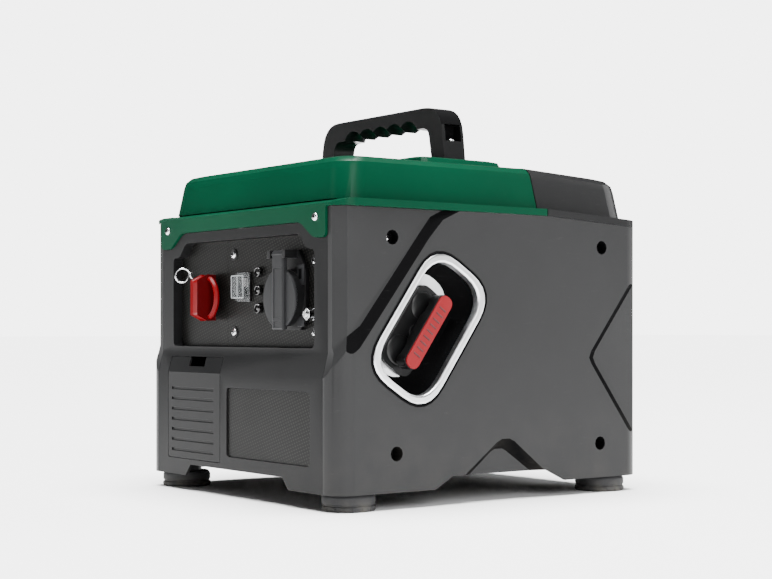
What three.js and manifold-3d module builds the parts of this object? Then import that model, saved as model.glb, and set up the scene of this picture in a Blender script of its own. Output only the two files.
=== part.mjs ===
// A portable inverter generator: a moulded box on four rubber feet with a green lid, a fixed carrying
// handle, a control panel at the front, a recoil starter in the right side, and the engine inside.
// Millimetres, +Z up, -Y is the front. Every group member is one piece of the machine.
import * as THREE from 'three';
import { mergeVertices } from 'three/addons/utils/BufferGeometryUtils.js';
import Module from 'manifold-3d';

const wasm = await Module();
wasm.setup();

// ---------------------------------------------------------------- driving dimensions
const GAP = 0.3; // between pieces that touch
const WALL = 3; // moulded walls

const WIDTH = 334; // across the proud side panels
const DEPTH = 362; // upper front face to rear face
const FRONT = 176.25; // upper front face ahead of the handle's middle
const FLOOR_Z = 15; // lower edge of the casing above the ground
const SHELL_TOP = 264.6; // top edge of the casing
const CORNER = 20.6; // vertical corner radius
const SIDE_STEP = 4.5; // proud side panel over the recessed front corner
const FRONT_STEP = 5.5; // lower front over the upper front
const SHOULDER_TOP = 137;
const SHOULDER_LOW = 116;
const BASE_Z = 28; // underside of the tray
const BASE_PLATE = 4;

const FOOT_R = 23.8;
const FOOT_X = WIDTH / 2 - 24.5;
const FOOT_Y = 151.5; // either way from the handle's middle
const PAD_R = 15; // tray pads over the feet
const FEET = [
  ['foot_front_left', -1, -1], ['foot_front_right', 1, -1], ['foot_rear_left', -1, 1], ['foot_rear_right', 1, 1],
];

const NOTCH_TOP = 26; // cut-outs in the lower edge
const FRONT_NOTCH = [92, 82]; // half widths at the bottom and at the top
const SIDE_NOTCH = [[-73.5, 83.5], [-53.7, 59.7]];

const APRON_PROUD = 2.5;
const APRON_LOW = 238;
const APRON_NOTCH_TOP = 253;
const APRON_NOTCH = [127.5, 106]; // half widths at the bottom and at the top
const APRON_SCREW = [131.5, 256];
const APRON_ROUND = 6;
const FLANGE_T = 6.6; // rim under the lid
const CREASE_Z = 267.5; // where the front of the rim leans back to the lid's wall
const LID_INSET = 14; // lid wall inside the casing's sides
const LID_FRONT_INSET = 10.5;
const LID_REAR_INSET = 3.5;
const LID_LEAN = 5.5;
const LID_SHOULDER = 300; // height where the wall starts to round over
const LID_ROUND = 11.5;
const LID_CROWN = 317;
const LID_CORNER = 24;
const LID_SEAM_Y = 61; // seam between the green lid and the black rear cover
const LID_SEAM_LEAN = 6; // the seam runs forward by this much up to the crown
const LID_GAP = 1.2;
const DIP = { from: -78, to: -62, back: 20, end: 40, depth: 3.7 }; // the crown falls behind the front hood
const SADDLE = { half: 126, front: -54, rear: 46, corner: 12, foot: 9, rise: 2 }; // raised middle of the crown
const REAR_SLOPE = 0.055; // the rear cover falls away to the back

const PLATE_DEPTH = 9.5; // control plates behind the front face
const PLATE_T = 3;
const PLATE_SEAM_X = -36;
const PANEL_HALF = 125.5;
const PANEL_Z = [141.5, 229, 243];
const PANEL_TOP_HALF = [113.5, 101];

const KNOB = { x: -61, z: 188.6, r: 21.7, height: 21.8, base: 9, ridge: 13 };
const VALVE_SHAFT_R = 4;
const ROCKER = { x: -4.6, z: 198, w: 24, h: 27.5, cap: 6.5, tilt: 8 };
const LAMP = { x: 22.5, r: 4.8, z: [211.2, 194.3, 177.5] };
const SOCKET = { x: 77, z: 186, r: 27, depth: 12, low: 157.5, high: 229, half: 27, bore: 19.5 };
const FLAP_T = 2.6;
const FLAP_BAR = 19;
const PIN_R = 1.6;
const STUD = { x: 111.5, z: 171.5, r: 3, length: 10.5 };
const HINGE_R = 3.6;
const LOOP = { x: -108, z: 211.3, r: 7, wire: 0.9, out: 9.2, turn: 0.93 };

const DOOR = { x: [-126, -26.2], z: [31.5, 131.3], slots: 7, pitch: 10.1, firstZ: 100.2 };
const BADGE = { x: [-14, 127.2], z: [38, 103.2], depth: 1.6 };

const SLANT_CENTRE = [-79.5, 158.6];
const SLANT_U = [34.8, -22.5]; // half of a short side of the starter opening
const SLANT_V = [-39.7, -55.4]; // half of a long side
const SLANT_CUT = 32; // how much of each side the rounded corners take
const BEZEL_WIDTH = 7;
const BEZEL_PROUD = 1.4;
const BEZEL_DEPTH = 8;
const CUP_DEPTH = 26; // floor of the starter cup behind the side panel
const CUP_FLOOR_SHARE = 0.83; // the cup narrows towards its floor
const GUIDE = { width: 38, length: 84, t: 4, shift: 2 };
const GRIP = { length: 77, width: 16, depth: 15, waist: 3.2, behind: 1, drop: 2.9 };
const WAIST_R = 16; // finger hollows in the back of the starter grip
const INSERT_T = 1.6;
const ROPE_R = 2;
const PULLEY = { r: 30, t: 12 };
const ROPE_HOLE = 4.2;

const HANDLE = {
  half: 103.5, top: 371, depth: 25.6, leg: 19.5, bar: 19.5, corner: 26, base: LID_CROWN + SADDLE.rise + GAP, lean: 6,
};
const HANDLE_SEAT = 18; // floor of the screw pocket above the handle's foot
const POCKET = 14; // depth of the hollow in the outside of each leg
const RIB = 3.2;
const FINGER_R = 13;
const FINGER_DEPTH = 5;
const FINGER_FLARE = 4; // the finger scoops widen towards both faces of the bar
const FINGER_PITCH = 23;
const SCREW_WELL_R = 6.6;
const SIDE_SCREWS = [[-118.5, 239], [-117, 49], [131, 237], [129, 48]];
const HEAD_R = 3.7;
const HEAD_T = 2.4;
const SHANK_R = 2;

const PULL = [SLANT_CENTRE[0], SLANT_CENTRE[1] - GRIP.drop]; // the rope's line
const CRANK_Z = PULL[1] - PULLEY.r; // the rope leaves the top of its pulley level with the grip
const CRANK_R = 8;
const FLYWHEEL_R = 58;
const FAN_BLADES = 8;
const COILS = 6;
const ENGINE = { front: -28, back: 56, half: 46, low: 66, high: 182, head: 124, webY: 6 };
const EXHAUST = { x: -70, z: 60, r: 13, wall: 3, gap: 6 };
const VENT = { half: 100, low: 122, pitch: 13, slot: 3.4, rows: 9 };
const REACH = 20; // how far a cutting tool runs past the wall it cuts
const FAR = 400; // beyond every outer face
const PLATE_SCREWS = [[-24.2, 229], [-23.2, 155.2], [113.4, 218.7], [113.4, 155.2]];
const SWITCH_DEEP = 20;
const TANK = { w: 210, d: 150, y: -32, low: 204, high: 256, neck: 20 };
const CAP = { r: 27, h: 10, notches: 8, sunk: 4, gap: 2 };
const DOOR_T = 2.6;
const LOUVRE = 2.6;
const FINGER_SLOT = { x: [-88, -58], low: 122 };

// ---------------------------------------------------------------- derived places
const frontY = -FRONT;
const rearY = DEPTH - FRONT;
const lowFrontY = frontY - FRONT_STEP;
const sideX = WIDTH / 2;
const stepX = sideX - SIDE_STEP;
const seamX = sideX - CORNER;
const plateY = frontY + PLATE_DEPTH;
const flangeTop = SHELL_TOP + GAP + FLANGE_T;
const capUnder = LID_CROWN - CAP.sunk - CAP.h;
const NECK_TOP = capUnder + 3;
const capY = TANK.y - TANK.d / 2 + TANK.neck + 4;
const wellFloorX = stepX - WALL - 6;
const hingeY = plateY - SOCKET.depth - GAP - 2.3;
const hingeZ = SOCKET.high - HINGE_R;
const handleScrewX = HANDLE.half - POCKET / 2;
const slant = new THREE.Vector2(...SLANT_V).normalize();

// ---------------------------------------------------------------- materials
function plastic(color, roughness = 0.55) {
  return new THREE.MeshStandardMaterial({ color, roughness, metalness: 0 });
}
function metal(color, roughness = 0.3) {
  return new THREE.MeshStandardMaterial({ color, roughness, metalness: 1 });
}
const charcoal = plastic(0x3a3b3d);
const black = plastic(0x17181a);
const rubber = plastic(0x141414, 0.85);
const green = plastic(0x06462f, 0.35);
const weave = plastic(0x2c2d2c, 0.6);
const red = plastic(0xa30f18, 0.3);
const flapGrey = plastic(0x55575a, 0.5);
const clear = new THREE.MeshStandardMaterial({
  color: 0xdfe6e8, roughness: 0.1, metalness: 0, transparent: true, opacity: 0.4,
});
const chrome = metal(0xd8dadb, 0.18);
const steel = metal(0x9a9da0, 0.35);
const castMetal = metal(0x8d9092, 0.55);
const copper = metal(0xa9653a, 0.4);
const cordBlack = plastic(0x202020, 0.9);

// ---------------------------------------------------------------- solids
// A copy of a geometry with each triangle's corners written out.
function bared(geometry) {
  return geometry.index ? geometry.toNonIndexed() : geometry.clone();
}

function solid(geometry) {
  const kept = new THREE.BufferGeometry().setAttribute('position', bared(geometry).getAttribute('position'));
  const merged = mergeVertices(kept, 1e-3);
  return new wasm.Manifold(new wasm.Mesh({
    numProp: 3,
    vertProperties: merged.attributes.position.array,
    triVerts: new Uint32Array(merged.index.array),
  }));
}

function geometryOf(body) {
  const mesh = body.getMesh();
  return new THREE.BufferGeometry()
    .setAttribute('position', new THREE.BufferAttribute(mesh.vertProperties, 3))
    .setIndex(new THREE.BufferAttribute(mesh.triVerts, 1))
    .toNonIndexed();
}

function join(...geometries) {
  return geometries.map(solid).reduce((all, next) => all.add(next));
}

function cut(body, ...geometries) {
  return geometries.map(solid).reduce((left, tool) => left.subtract(tool), body);
}

// A box from its lowest to its highest corner.
function box(low, high) {
  const size = high.map((value, axis) => value - low[axis]);
  const middle = high.map((value, axis) => (value + low[axis]) / 2);
  return new THREE.BoxGeometry(...size).translate(...middle);
}

// A cylinder between two heights along one axis, centred on the other two coordinates.
function rod(axis, radius, from, to, centre, segments = 20) {
  const geometry = new THREE.CylinderGeometry(radius, radius, to - from, segments);
  const middle = (from + to) / 2;
  if (axis === 'x') return geometry.rotateZ(-Math.PI / 2).translate(middle, ...centre);
  if (axis === 'y') return geometry.translate(centre[0], middle, centre[1]);
  return geometry.rotateX(Math.PI / 2).translate(...centre, middle);
}

// A closed outline with each corner rounded by a curve that takes `cutBack` of both its sides.
function outline(points, cutBack = 0) {
  const shape = new THREE.Shape();
  points.forEach((point, i) => {
    const corner = new THREE.Vector2(...point);
    const before = new THREE.Vector2(...points.at(i - 1));
    const after = new THREE.Vector2(...points[(i + 1) % points.length]);
    const reach = (end) => corner.clone().add(end.sub(corner).setLength(Math.min(cutBack, end.length() / 2)));
    const start = reach(before);
    const finish = reach(after);
    if (i === 0) shape.moveTo(start.x, start.y);
    else shape.lineTo(start.x, start.y);
    if (cutBack > 0) shape.quadraticCurveTo(corner.x, corner.y, finish.x, finish.y);
  });
  shape.closePath();
  return shape;
}

function rectangle(low, high, cutBack = 0) {
  return outline([[low[0], low[1]], [high[0], low[1]], [high[0], high[1]], [low[0], high[1]]], cutBack);
}

// The same convex outline with every side moved outwards by `distance`.
function grown(points, distance) {
  const corners = points.map((point) => new THREE.Vector2(...point));
  const area = corners.reduce((sum, a, i) => sum + a.cross(corners[(i + 1) % corners.length]), 0);
  const normals = corners.map((a, i) => {
    const along = corners[(i + 1) % corners.length].clone().sub(a).normalize();
    return new THREE.Vector2(along.y, -along.x).multiplyScalar(Math.sign(area));
  });
  return corners.map((a, i) => {
    const first = normals.at(i - 1);
    const second = normals[i];
    const scale = distance / (1 + first.dot(second));
    return [a.x + (first.x + second.x) * scale, a.y + (first.y + second.y) * scale];
  });
}

// A prism of an outline. plane 'xz' runs along +Y, 'yz' along +X, 'xy' along +Z, from `from` to `to`.
function prism(plane, shape, from, to, curveSegments = 4) {
  const settings = { depth: to - from, bevelEnabled: false, curveSegments };
  const start = plane === 'xz' ? -to : from;
  return laid(plane, new THREE.ExtrudeGeometry(shape, settings).translate(0, 0, start));
}

// Turns a prism made along Z so that its outline lies in the named plane.
function laid(plane, geometry) {
  if (plane === 'xz') return geometry.rotateX(Math.PI / 2);
  if (plane === 'yz') return geometry.rotateX(Math.PI / 2).rotateZ(Math.PI / 2);
  return geometry;
}

// A prism whose far outline has other points than its near one, as a sloped cut has.
function taper(plane, nearPoints, farPoints, from, to) {
  const geometry = new THREE.ExtrudeGeometry(outline(nearPoints), { depth: 1, bevelEnabled: false });
  const position = geometry.attributes.position;
  for (let i = 0; i < position.count; i++) {
    const far = position.getZ(i) > 0.5;
    const x = position.getX(i);
    const y = position.getY(i);
    const match = nearPoints.findIndex((p) => Math.abs(p[0] - x) < 1e-3 && Math.abs(p[1] - y) < 1e-3);
    const [px, py] = far ? farPoints[match] : nearPoints[match];
    position.setXYZ(i, px, py, far ? to : from);
  }
  return laid(plane, geometry);
}

// A stack of one outline at several heights; `place(x, y, level)` gives the point at each level.
function stack(shape, levels, place, curveSegments = 6) {
  const settings = { depth: levels.length - 1, steps: levels.length - 1, bevelEnabled: false, curveSegments };
  const geometry = new THREE.ExtrudeGeometry(shape, settings);
  const position = geometry.attributes.position;
  for (let i = 0; i < position.count; i++) {
    const level = levels[Math.round(position.getZ(i))];
    position.setXYZ(i, ...place(position.getX(i), position.getY(i), level));
  }
  return geometry;
}

function lathe(profile, segments = 24) {
  const points = profile.map(([r, h]) => new THREE.Vector2(r, h));
  return new THREE.LatheGeometry(points, segments);
}

// ---------------------------------------------------------------- the assembly
const machine = new THREE.Group();
machine.name = 'portable_generator';

function add(name, shape, material) {
  const geometry = shape.isBufferGeometry ? shape : geometryOf(shape);
  geometry.computeVertexNormals();
  const mesh = new THREE.Mesh(geometry, material);
  mesh.name = name;
  machine.add(mesh);
  return mesh;
}

// ---------------------------------------------------------------- casing
// The casing's plan: a box with rounded vertical corners, `inset` inside its outer faces.
function plan(halfWidth, front, rear, inset) {
  const radius = halfWidth - seamX - inset;
  const x = halfWidth - inset;
  const low = front + inset;
  const high = rear - inset;
  const shape = new THREE.Shape();
  shape.moveTo(-seamX, low);
  shape.lineTo(seamX, low);
  shape.absarc(seamX, low + radius, radius, -Math.PI / 2, 0);
  shape.absarc(seamX, high - radius, radius, 0, Math.PI / 2);
  shape.absarc(-seamX, high - radius, radius, Math.PI / 2, Math.PI);
  shape.absarc(-seamX, low + radius, radius, Math.PI, 1.5 * Math.PI);
  shape.closePath();
  return shape;
}

const UPPER_EDGE = 300; // above every casing cut
const BAND_INNER = [[-20, 280], [-59.5, 266.3], [-76.5, 258.4], [-87.8, 244.6], [-153.4, 161.1], [-200, 130]];
const BAND_OUTER = [[0, 280], [-42.2, 266.3], [-65.3, 255.9], [-82.3, 237.4], [-156.7, 141.9], [-200, 110]];
const ARCH_OUTER = [[-43, 24], [-1.5, 54.5], [4.5, 57.2], [13.5, 57.2], [19.5, 54.5], [59, 24]];
const ARCH_INNER = [[-34, 24], [-6, 45.5], [-1, 48], [8, 48], [13, 45.5], [45, 24]];
const REAR_CUT_OUTER = [[200, 242], [117, 137], [114.5, 131], [117, 125.5], [200, 17]];
const REAR_CUT_INNER = [[208, 242], [125, 137], [122.5, 131], [125, 125.5], [208, 17]];

function mirrored(geometry) {
  const flipped = bared(geometry).scale(-1, 1, 1);
  const position = flipped.attributes.position;
  for (let i = 0; i < position.count; i += 3) {
    const keep = new THREE.Vector3().fromBufferAttribute(position, i);
    const other = new THREE.Vector3().fromBufferAttribute(position, i + 1);
    position.setXYZ(i, ...other.toArray());
    position.setXYZ(i + 1, ...keep.toArray());
  }
  return flipped;
}

// The sloped bands where the proud panels end: along both sides, round the corners and over the front.
function bandTools(inset) {
  const near = stepX - inset;
  const far = sideX - inset + 1;
  const beyond = SIDE_STEP / (SIDE_STEP + 1);
  const past = (inner, outer) => inner.map((p, i) => p.map((v, k) => v + (outer[i][k] - v) / beyond));
  const closed = (points) => [...points, [-200, UPPER_EDGE]].reverse();
  const side = taper('yz', closed(BAND_INNER), closed(past(BAND_INNER, BAND_OUTER)), near, far);
  const turnR = CORNER - SIDE_STEP - inset;
  const reach = 40;
  const cornerInner = [[-reach, 182], [reach, 114], [reach, UPPER_EDGE], [-reach, UPPER_EDGE]];
  const cornerOuter = [[-reach, 171], [reach, 88], [reach, UPPER_EDGE], [-reach, UPPER_EDGE]];
  const corner = taper('yz', cornerInner.map(([t, z]) => [-t, z]).reverse(),
    past(cornerInner, cornerOuter).map(([t, z]) => [-t, z]).reverse(), turnR, turnR + SIDE_STEP + 4);
  corner.rotateZ(-Math.PI / 4).translate(seamX, frontY + CORNER - SIDE_STEP, 0);
  const front = prism('yz', outline([
    [frontY + inset, UPPER_EDGE], [frontY - 20, UPPER_EDGE], [frontY - 20, SHOULDER_LOW],
    [lowFrontY + inset, SHOULDER_LOW], [frontY + inset, SHOULDER_TOP],
  ]), -sideX, sideX);
  return [side, mirrored(side), corner, mirrored(corner), front];
}

// One solid casing body at `inset` inside the outer faces: a core with the proud panels on it.
function casingBody(inset) {
  const low = FLOOR_Z - inset;
  const high = SHELL_TOP + inset;
  const core = prism('xy', plan(stepX, frontY, rearY, inset), low, high, 6);
  const armour = cut(solid(prism('xy', plan(sideX, lowFrontY, rearY, inset), low, high, 6)), ...bandTools(inset));
  const arch = taper('yz', [...ARCH_INNER].reverse(), [...ARCH_OUTER].reverse(), stepX - inset, sideX - inset);
  const rearCut = taper('yz', [...REAR_CUT_INNER].reverse(), [...REAR_CUT_OUTER].reverse(),
    sideX - inset - WALL, sideX - inset);
  return cut(armour, arch, mirrored(arch), rearCut, mirrored(rearCut)).add(solid(core));
}

// What the casing's edges lose: notches in the lower edge and the falling top edge at the rear.
function casingEdgeTools() {
  const below = FLOOR_Z - 10;
  const [wide, narrow] = FRONT_NOTCH;
  const [outerY, innerY] = SIDE_NOTCH;
  const frontNotch = prism('xz', outline([
    [-wide, below], [wide, below], [wide, FLOOR_Z], [narrow, NOTCH_TOP], [-narrow, NOTCH_TOP], [-wide, FLOOR_Z],
  ]), -FAR, FAR);
  const sideNotch = prism('yz', outline([
    [outerY[0], below], [outerY[1], below], [outerY[1], FLOOR_Z], [innerY[1], NOTCH_TOP],
    [innerY[0], NOTCH_TOP], [outerY[0], FLOOR_Z],
  ]), -FAR, FAR);
  const fall = (FAR - LID_SEAM_Y) * REAR_SLOPE;
  const slope = prism('yz', outline([
    [LID_SEAM_Y, SHELL_TOP], [FAR, SHELL_TOP - fall], [FAR, UPPER_EDGE], [LID_SEAM_Y, UPPER_EDGE],
  ]), -FAR, FAR);
  return [frontNotch, sideNotch, slope];
}

const panelPoints = [
  [-PANEL_HALF, PANEL_Z[0]], [PANEL_HALF, PANEL_Z[0]], [PANEL_HALF, PANEL_Z[1]],
  [PANEL_TOP_HALF[0], PANEL_Z[1]], [PANEL_TOP_HALF[1], PANEL_Z[2]],
  [-PANEL_TOP_HALF[1], PANEL_Z[2]], [-PANEL_TOP_HALF[0], PANEL_Z[1]], [-PANEL_HALF, PANEL_Z[1]],
];
const PANEL_ROUND = 5;

function apronOutline(grow) {
  const [wide, narrow] = APRON_NOTCH;
  return outline([
    [-seamX - grow, APRON_LOW - grow], [-wide + grow, APRON_LOW - grow],
    [-narrow + grow, APRON_NOTCH_TOP - grow], [narrow - grow, APRON_NOTCH_TOP - grow],
    [wide - grow, APRON_LOW - grow], [seamX + grow, APRON_LOW - grow],
    [seamX + grow, flangeTop], [-seamX - grow, flangeTop],
  ], APRON_ROUND);
}

function slantPoints(grow = 0) {
  const [cy, cz] = SLANT_CENTRE;
  const corner = (a, b) => [cy + a * SLANT_U[0] + b * SLANT_V[0], cz + a * SLANT_U[1] + b * SLANT_V[1]];
  return grown([corner(1, 1), corner(1, -1), corner(-1, -1), corner(-1, 1)], grow);
}

function slantPrism(grow, from, to) {
  return prism('yz', outline(slantPoints(grow), SLANT_CUT + grow / 2), from, to, 6);
}

// A rod on each of one side's screw axes, between two distances from the middle of the machine.
function screwRods(side, radius, inner, outer, segments) {
  const [from, to] = [side * inner, side * outer].sort((a, b) => a - b);
  return SIDE_SCREWS.map((place) => rod('x', radius, from, to, place, segments));
}

function buildCasing() {
  const tube = casingBody(0).subtract(casingBody(WALL));
  const shell = cut(tube, ...casingEdgeTools());
  const seam = GAP / 2;
  const middle = solid(box([-seamX + seam, -FAR, 0], [seamX - seam, 0, FAR]));
  const back = solid(box([-seamX + seam, 0, 0], [seamX - seam, FAR, FAR]));
  buildFrontCover(shell.intersect(middle));
  buildRearCover(shell.intersect(back));
  for (const [name, side] of [['side_cover_right', 1], ['side_cover_left', -1]]) {
    const reach = [side * (seamX + seam), side * FAR].sort((a, b) => a - b);
    const half = shell.intersect(solid(box([reach[0], -FAR, 0], [reach[1], FAR, FAR])));
    const seats = join(...screwRods(side, SCREW_WELL_R + 2, wellFloorX - 2, sideX, 12)).intersect(casingBody(0));
    const wells = screwRods(side, SCREW_WELL_R, wellFloorX, sideX + 1, 12);
    const bores = screwRods(side, SHANK_R + GAP, wellFloorX - 5, sideX, 8);
    let cover = cut(half.add(seats), ...wells, ...bores);
    if (side > 0) cover = cut(cover, slantPrism(GAP, stepX - REACH, sideX + REACH));
    add(name, cover, charcoal);
  }
}

function buildFrontCover(skin) {
  const tub = prism('xz', outline(grown(panelPoints, WALL), PANEL_ROUND + WALL), frontY + 1, plateY + PLATE_T + 4);
  const opening = prism('xz', outline(panelPoints, PANEL_ROUND), frontY - 20, plateY + PLATE_T + GAP);
  const ledge = prism('xz', outline(grown(panelPoints, -4), PANEL_ROUND), plateY, plateY + 30);
  const apron = prism('xz', apronOutline(GAP), frontY - REACH, frontY + REACH);
  const doorHole = prism('xz', rectangle([DOOR.x[0] - 0.4, DOOR.z[0] - 0.4], [DOOR.x[1] + 0.4, DOOR.z[1] + 0.4], 3),
    frontY - 30, frontY + 20);
  const badgeBack = box([BADGE.x[0] - 3, lowFrontY + 1, BADGE.z[0] - 3], [BADGE.x[1] + 3, lowFrontY + 5.5, BADGE.z[1] + 3]);
  const badgeHole = prism('xz', rectangle([BADGE.x[0], BADGE.z[0]], [BADGE.x[1], BADGE.z[1]], 5),
    lowFrontY - 5, lowFrontY + BADGE.depth + 1.4);
  const body = skin.add(solid(tub)).add(solid(badgeBack));
  add('front_cover', cut(body, opening, ledge, apron, doorHole, badgeHole), charcoal);
}

function buildRearCover(skin) {
  const slots = [];
  for (let row = 0; row < VENT.rows; row++) {
    const z = VENT.low + row * VENT.pitch;
    slots.push(box([-VENT.half, rearY - REACH, z], [VENT.half, rearY + REACH, z + VENT.slot]));
  }
  const outlet = rod('y', EXHAUST.r + EXHAUST.gap, rearY - REACH, rearY + REACH, [EXHAUST.x, EXHAUST.z], 24);
  add('rear_cover', cut(skin, ...slots, outlet), charcoal);
}

function buildBaseTray() {
  const x = stepX - WALL - GAP;
  const within = WALL + GAP;
  const shape = rectangle([-x, frontY + within], [x, rearY - within], CORNER);
  const plate = prism('xy', shape, BASE_Z, BASE_Z + BASE_PLATE, 4);
  const pads = FEET.map(([, sx, sy]) => rod('z', PAD_R, FLOOR_Z + GAP, BASE_Z + 1, [sx * FOOT_X, sy * FOOT_Y], 16));
  const pulleyY = PULL[0];
  const postBack = pulleyY + PULLEY.t / 2;
  const upright = box([-16, pulleyY - 18, BASE_Z + 1], [16, pulleyY - 12, CRANK_Z + 16]);
  const post = rod('y', CRANK_R + 4 - GAP, pulleyY - 13, postBack, [0, CRANK_Z], 24);
  add('base_tray', join(plate, ...pads, upright, post), black);
}

function buildFeet() {
  const profile = [[0, 0], [FOOT_R - 0.8, 0], [FOOT_R, 3], [FOOT_R - 0.4, FLOOR_Z - 2], [FOOT_R - 2, FLOOR_Z], [0, FLOOR_Z]];
  for (const [name, sx, sy] of FEET) {
    add(name, lathe(profile, 24).rotateX(Math.PI / 2), rubber).position.set(sx * FOOT_X, sy * FOOT_Y, 0);
  }
}

// ---------------------------------------------------------------- lid
// Lid levels: how far the section is drawn in, and its height. The wall leans, rounds over and crowns.
function lidLevels(inset) {
  const levels = [[0, SHELL_TOP + GAP + 1 - inset], [LID_LEAN, LID_SHOULDER]];
  for (const degrees of [30, 60, 90]) {
    const angle = degrees * Math.PI / 180;
    levels.push([LID_LEAN + LID_ROUND * (1 - Math.cos(angle)), LID_SHOULDER + LID_ROUND * Math.sin(angle)]);
  }
  levels.push([60, LID_CROWN - 1], [110, LID_CROWN]);
  return levels.map(([drawn, z]) => [drawn, z - inset]);
}

// The lid's solid, `inset` inside its outer surface; slope tips it towards the rear from the seam.
function lidBody(inset, slope) {
  const halfX = sideX - LID_INSET - inset;
  const front = frontY + LID_FRONT_INSET;
  const rear = rearY - LID_REAR_INSET;
  const halfY = (rear - front) / 2 - inset;
  const midY = (rear + front) / 2;
  const shape = rectangle([-halfX, -halfY], [halfX, halfY], LID_CORNER);
  return stack(shape, lidLevels(inset), (x, y, [drawn, z]) => {
    const px = x * (halfX - drawn) / halfX;
    const py = y * (halfY - drawn) / halfY + midY;
    return [px, py, z - (py - LID_SEAM_Y) * slope];
  });
}

// The green lid's solid with the dip behind its front hood and the raised middle that carries the handle.
function crownedBody(inset) {
  const brim = LID_CROWN + 1 - inset;
  const floor = brim - 1 - DIP.depth;
  const above = LID_CROWN + REACH;
  const dip = prism('yz', outline([
    [DIP.from, brim], [DIP.to, floor], [DIP.back, floor], [DIP.end, brim], [DIP.end, above], [DIP.from, above],
  ]), -FAR, FAR);
  const half = SADDLE.half - inset;
  const front = SADDLE.front + inset;
  const rear = SADDLE.rear - inset;
  const middleY = (front + rear) / 2;
  const levels = [[0, LID_CROWN - SADDLE.foot], [5, LID_CROWN], [14, LID_CROWN + SADDLE.rise]];
  const saddle = stack(rectangle([-half, front], [half, rear], SADDLE.corner), levels, (x, y, [drawn, z]) => {
    const py = middleY + (y - middleY) * (1 - drawn / half);
    return [x * (1 - drawn / half), py, z - inset];
  }, 3);
  return cut(solid(lidBody(inset, 0)), dip).add(solid(saddle));
}

// The flat rim under the lid, flush with the casing.
function rimBody(front, low, high, slope) {
  const shape = plan(sideX, frontY - front, rearY, 0);
  return stack(shape, [low, high], (x, y, z) => [x, y, z - (y - LID_SEAM_Y) * slope], 6);
}

// Everything ahead of the lid's seam (side -1) or behind it (side 1); the seam leans forward above the rim.
function seamHalf(side) {
  const edge = LID_SEAM_Y + side * LID_GAP / 2;
  const points = [
    [side * FAR, 0], [edge, 0], [edge, flangeTop], [edge - LID_SEAM_LEAN, LID_CROWN], [edge - LID_SEAM_LEAN, FAR],
    [side * FAR, FAR],
  ];
  return solid(prism('yz', outline(side < 0 ? points.reverse() : points), -FAR, FAR));
}

function buildTopCover() {
  const low = SHELL_TOP + GAP;
  const rim = rimBody(APRON_PROUD, low, flangeTop, 0);
  const face = frontY - APRON_PROUD;
  const apron = prism('xz', apronOutline(0), face, face + WALL);
  const lean = prism('yz', outline([
    [face - 1, CREASE_Z], [face, CREASE_Z], [frontY + LID_FRONT_INSET, flangeTop],
    [frontY + LID_FRONT_INSET, flangeTop + 2], [face - 1, flangeTop + 2],
  ]), -FAR, FAR);
  const hollow = box([-seamX, frontY + 8, low - 5], [seamX, FAR, flangeTop + 1]);
  const lid = crownedBody(0);
  const wellR = CAP.r + CAP.gap;
  const wellWall = rod('z', wellR + WALL, capUnder - 4, LID_CROWN, [0, capY], 28);
  const well = solid(wellWall).intersect(lid);
  const skin = lid.add(solid(rim)).intersect(seamHalf(-1)).subtract(crownedBody(WALL));
  const cover = cut(cut(skin, hollow).add(solid(apron)), lean).add(well);
  const capHole = rod('z', wellR, LID_SHOULDER - REACH, LID_CROWN + REACH, [0, capY], 28);
  const bores = [];
  for (const side of [-1, 1]) {
    bores.push(rod('y', SHANK_R + GAP, frontY - REACH, frontY + REACH, [side * APRON_SCREW[0], APRON_SCREW[1]], 8));
    bores.push(rod('z', SHANK_R + GAP, LID_CROWN - REACH, LID_CROWN + REACH, [side * handleScrewX, 0], 8));
  }
  add('top_cover', cut(cover, capHole, ...bores), green);
}

function buildRearTopCover() {
  const low = SHELL_TOP + GAP;
  const rim = rimBody(0, low, flangeTop, REAR_SLOPE);
  const hollow = stack(rectangle([-seamX, -FAR], [seamX, rearY - 20]), [low - 5, flangeTop + 1],
    (x, y, z) => [x, y, z - (y - LID_SEAM_Y) * REAR_SLOPE]);
  const skin = join(lidBody(0, REAR_SLOPE), rim).intersect(seamHalf(1));
  add('rear_top_cover', cut(skin, lidBody(WALL, REAR_SLOPE), hollow), black);
}

// ---------------------------------------------------------------- handle
// The outer arch of the handle, or the hand opening under its bar.
function archOutline(half, top, corner, lean, foot) {
  const shape = new THREE.Shape();
  const bend = lean * (1 - corner / (top - foot));
  shape.moveTo(-half, foot);
  shape.lineTo(-half + bend, top - corner);
  shape.quadraticCurveTo(-half + lean, top, -half + lean + corner, top);
  shape.lineTo(half - lean - corner, top);
  shape.quadraticCurveTo(half - lean, top, half - bend, top - corner);
  shape.lineTo(half, foot);
  shape.closePath();
  return shape;
}

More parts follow.
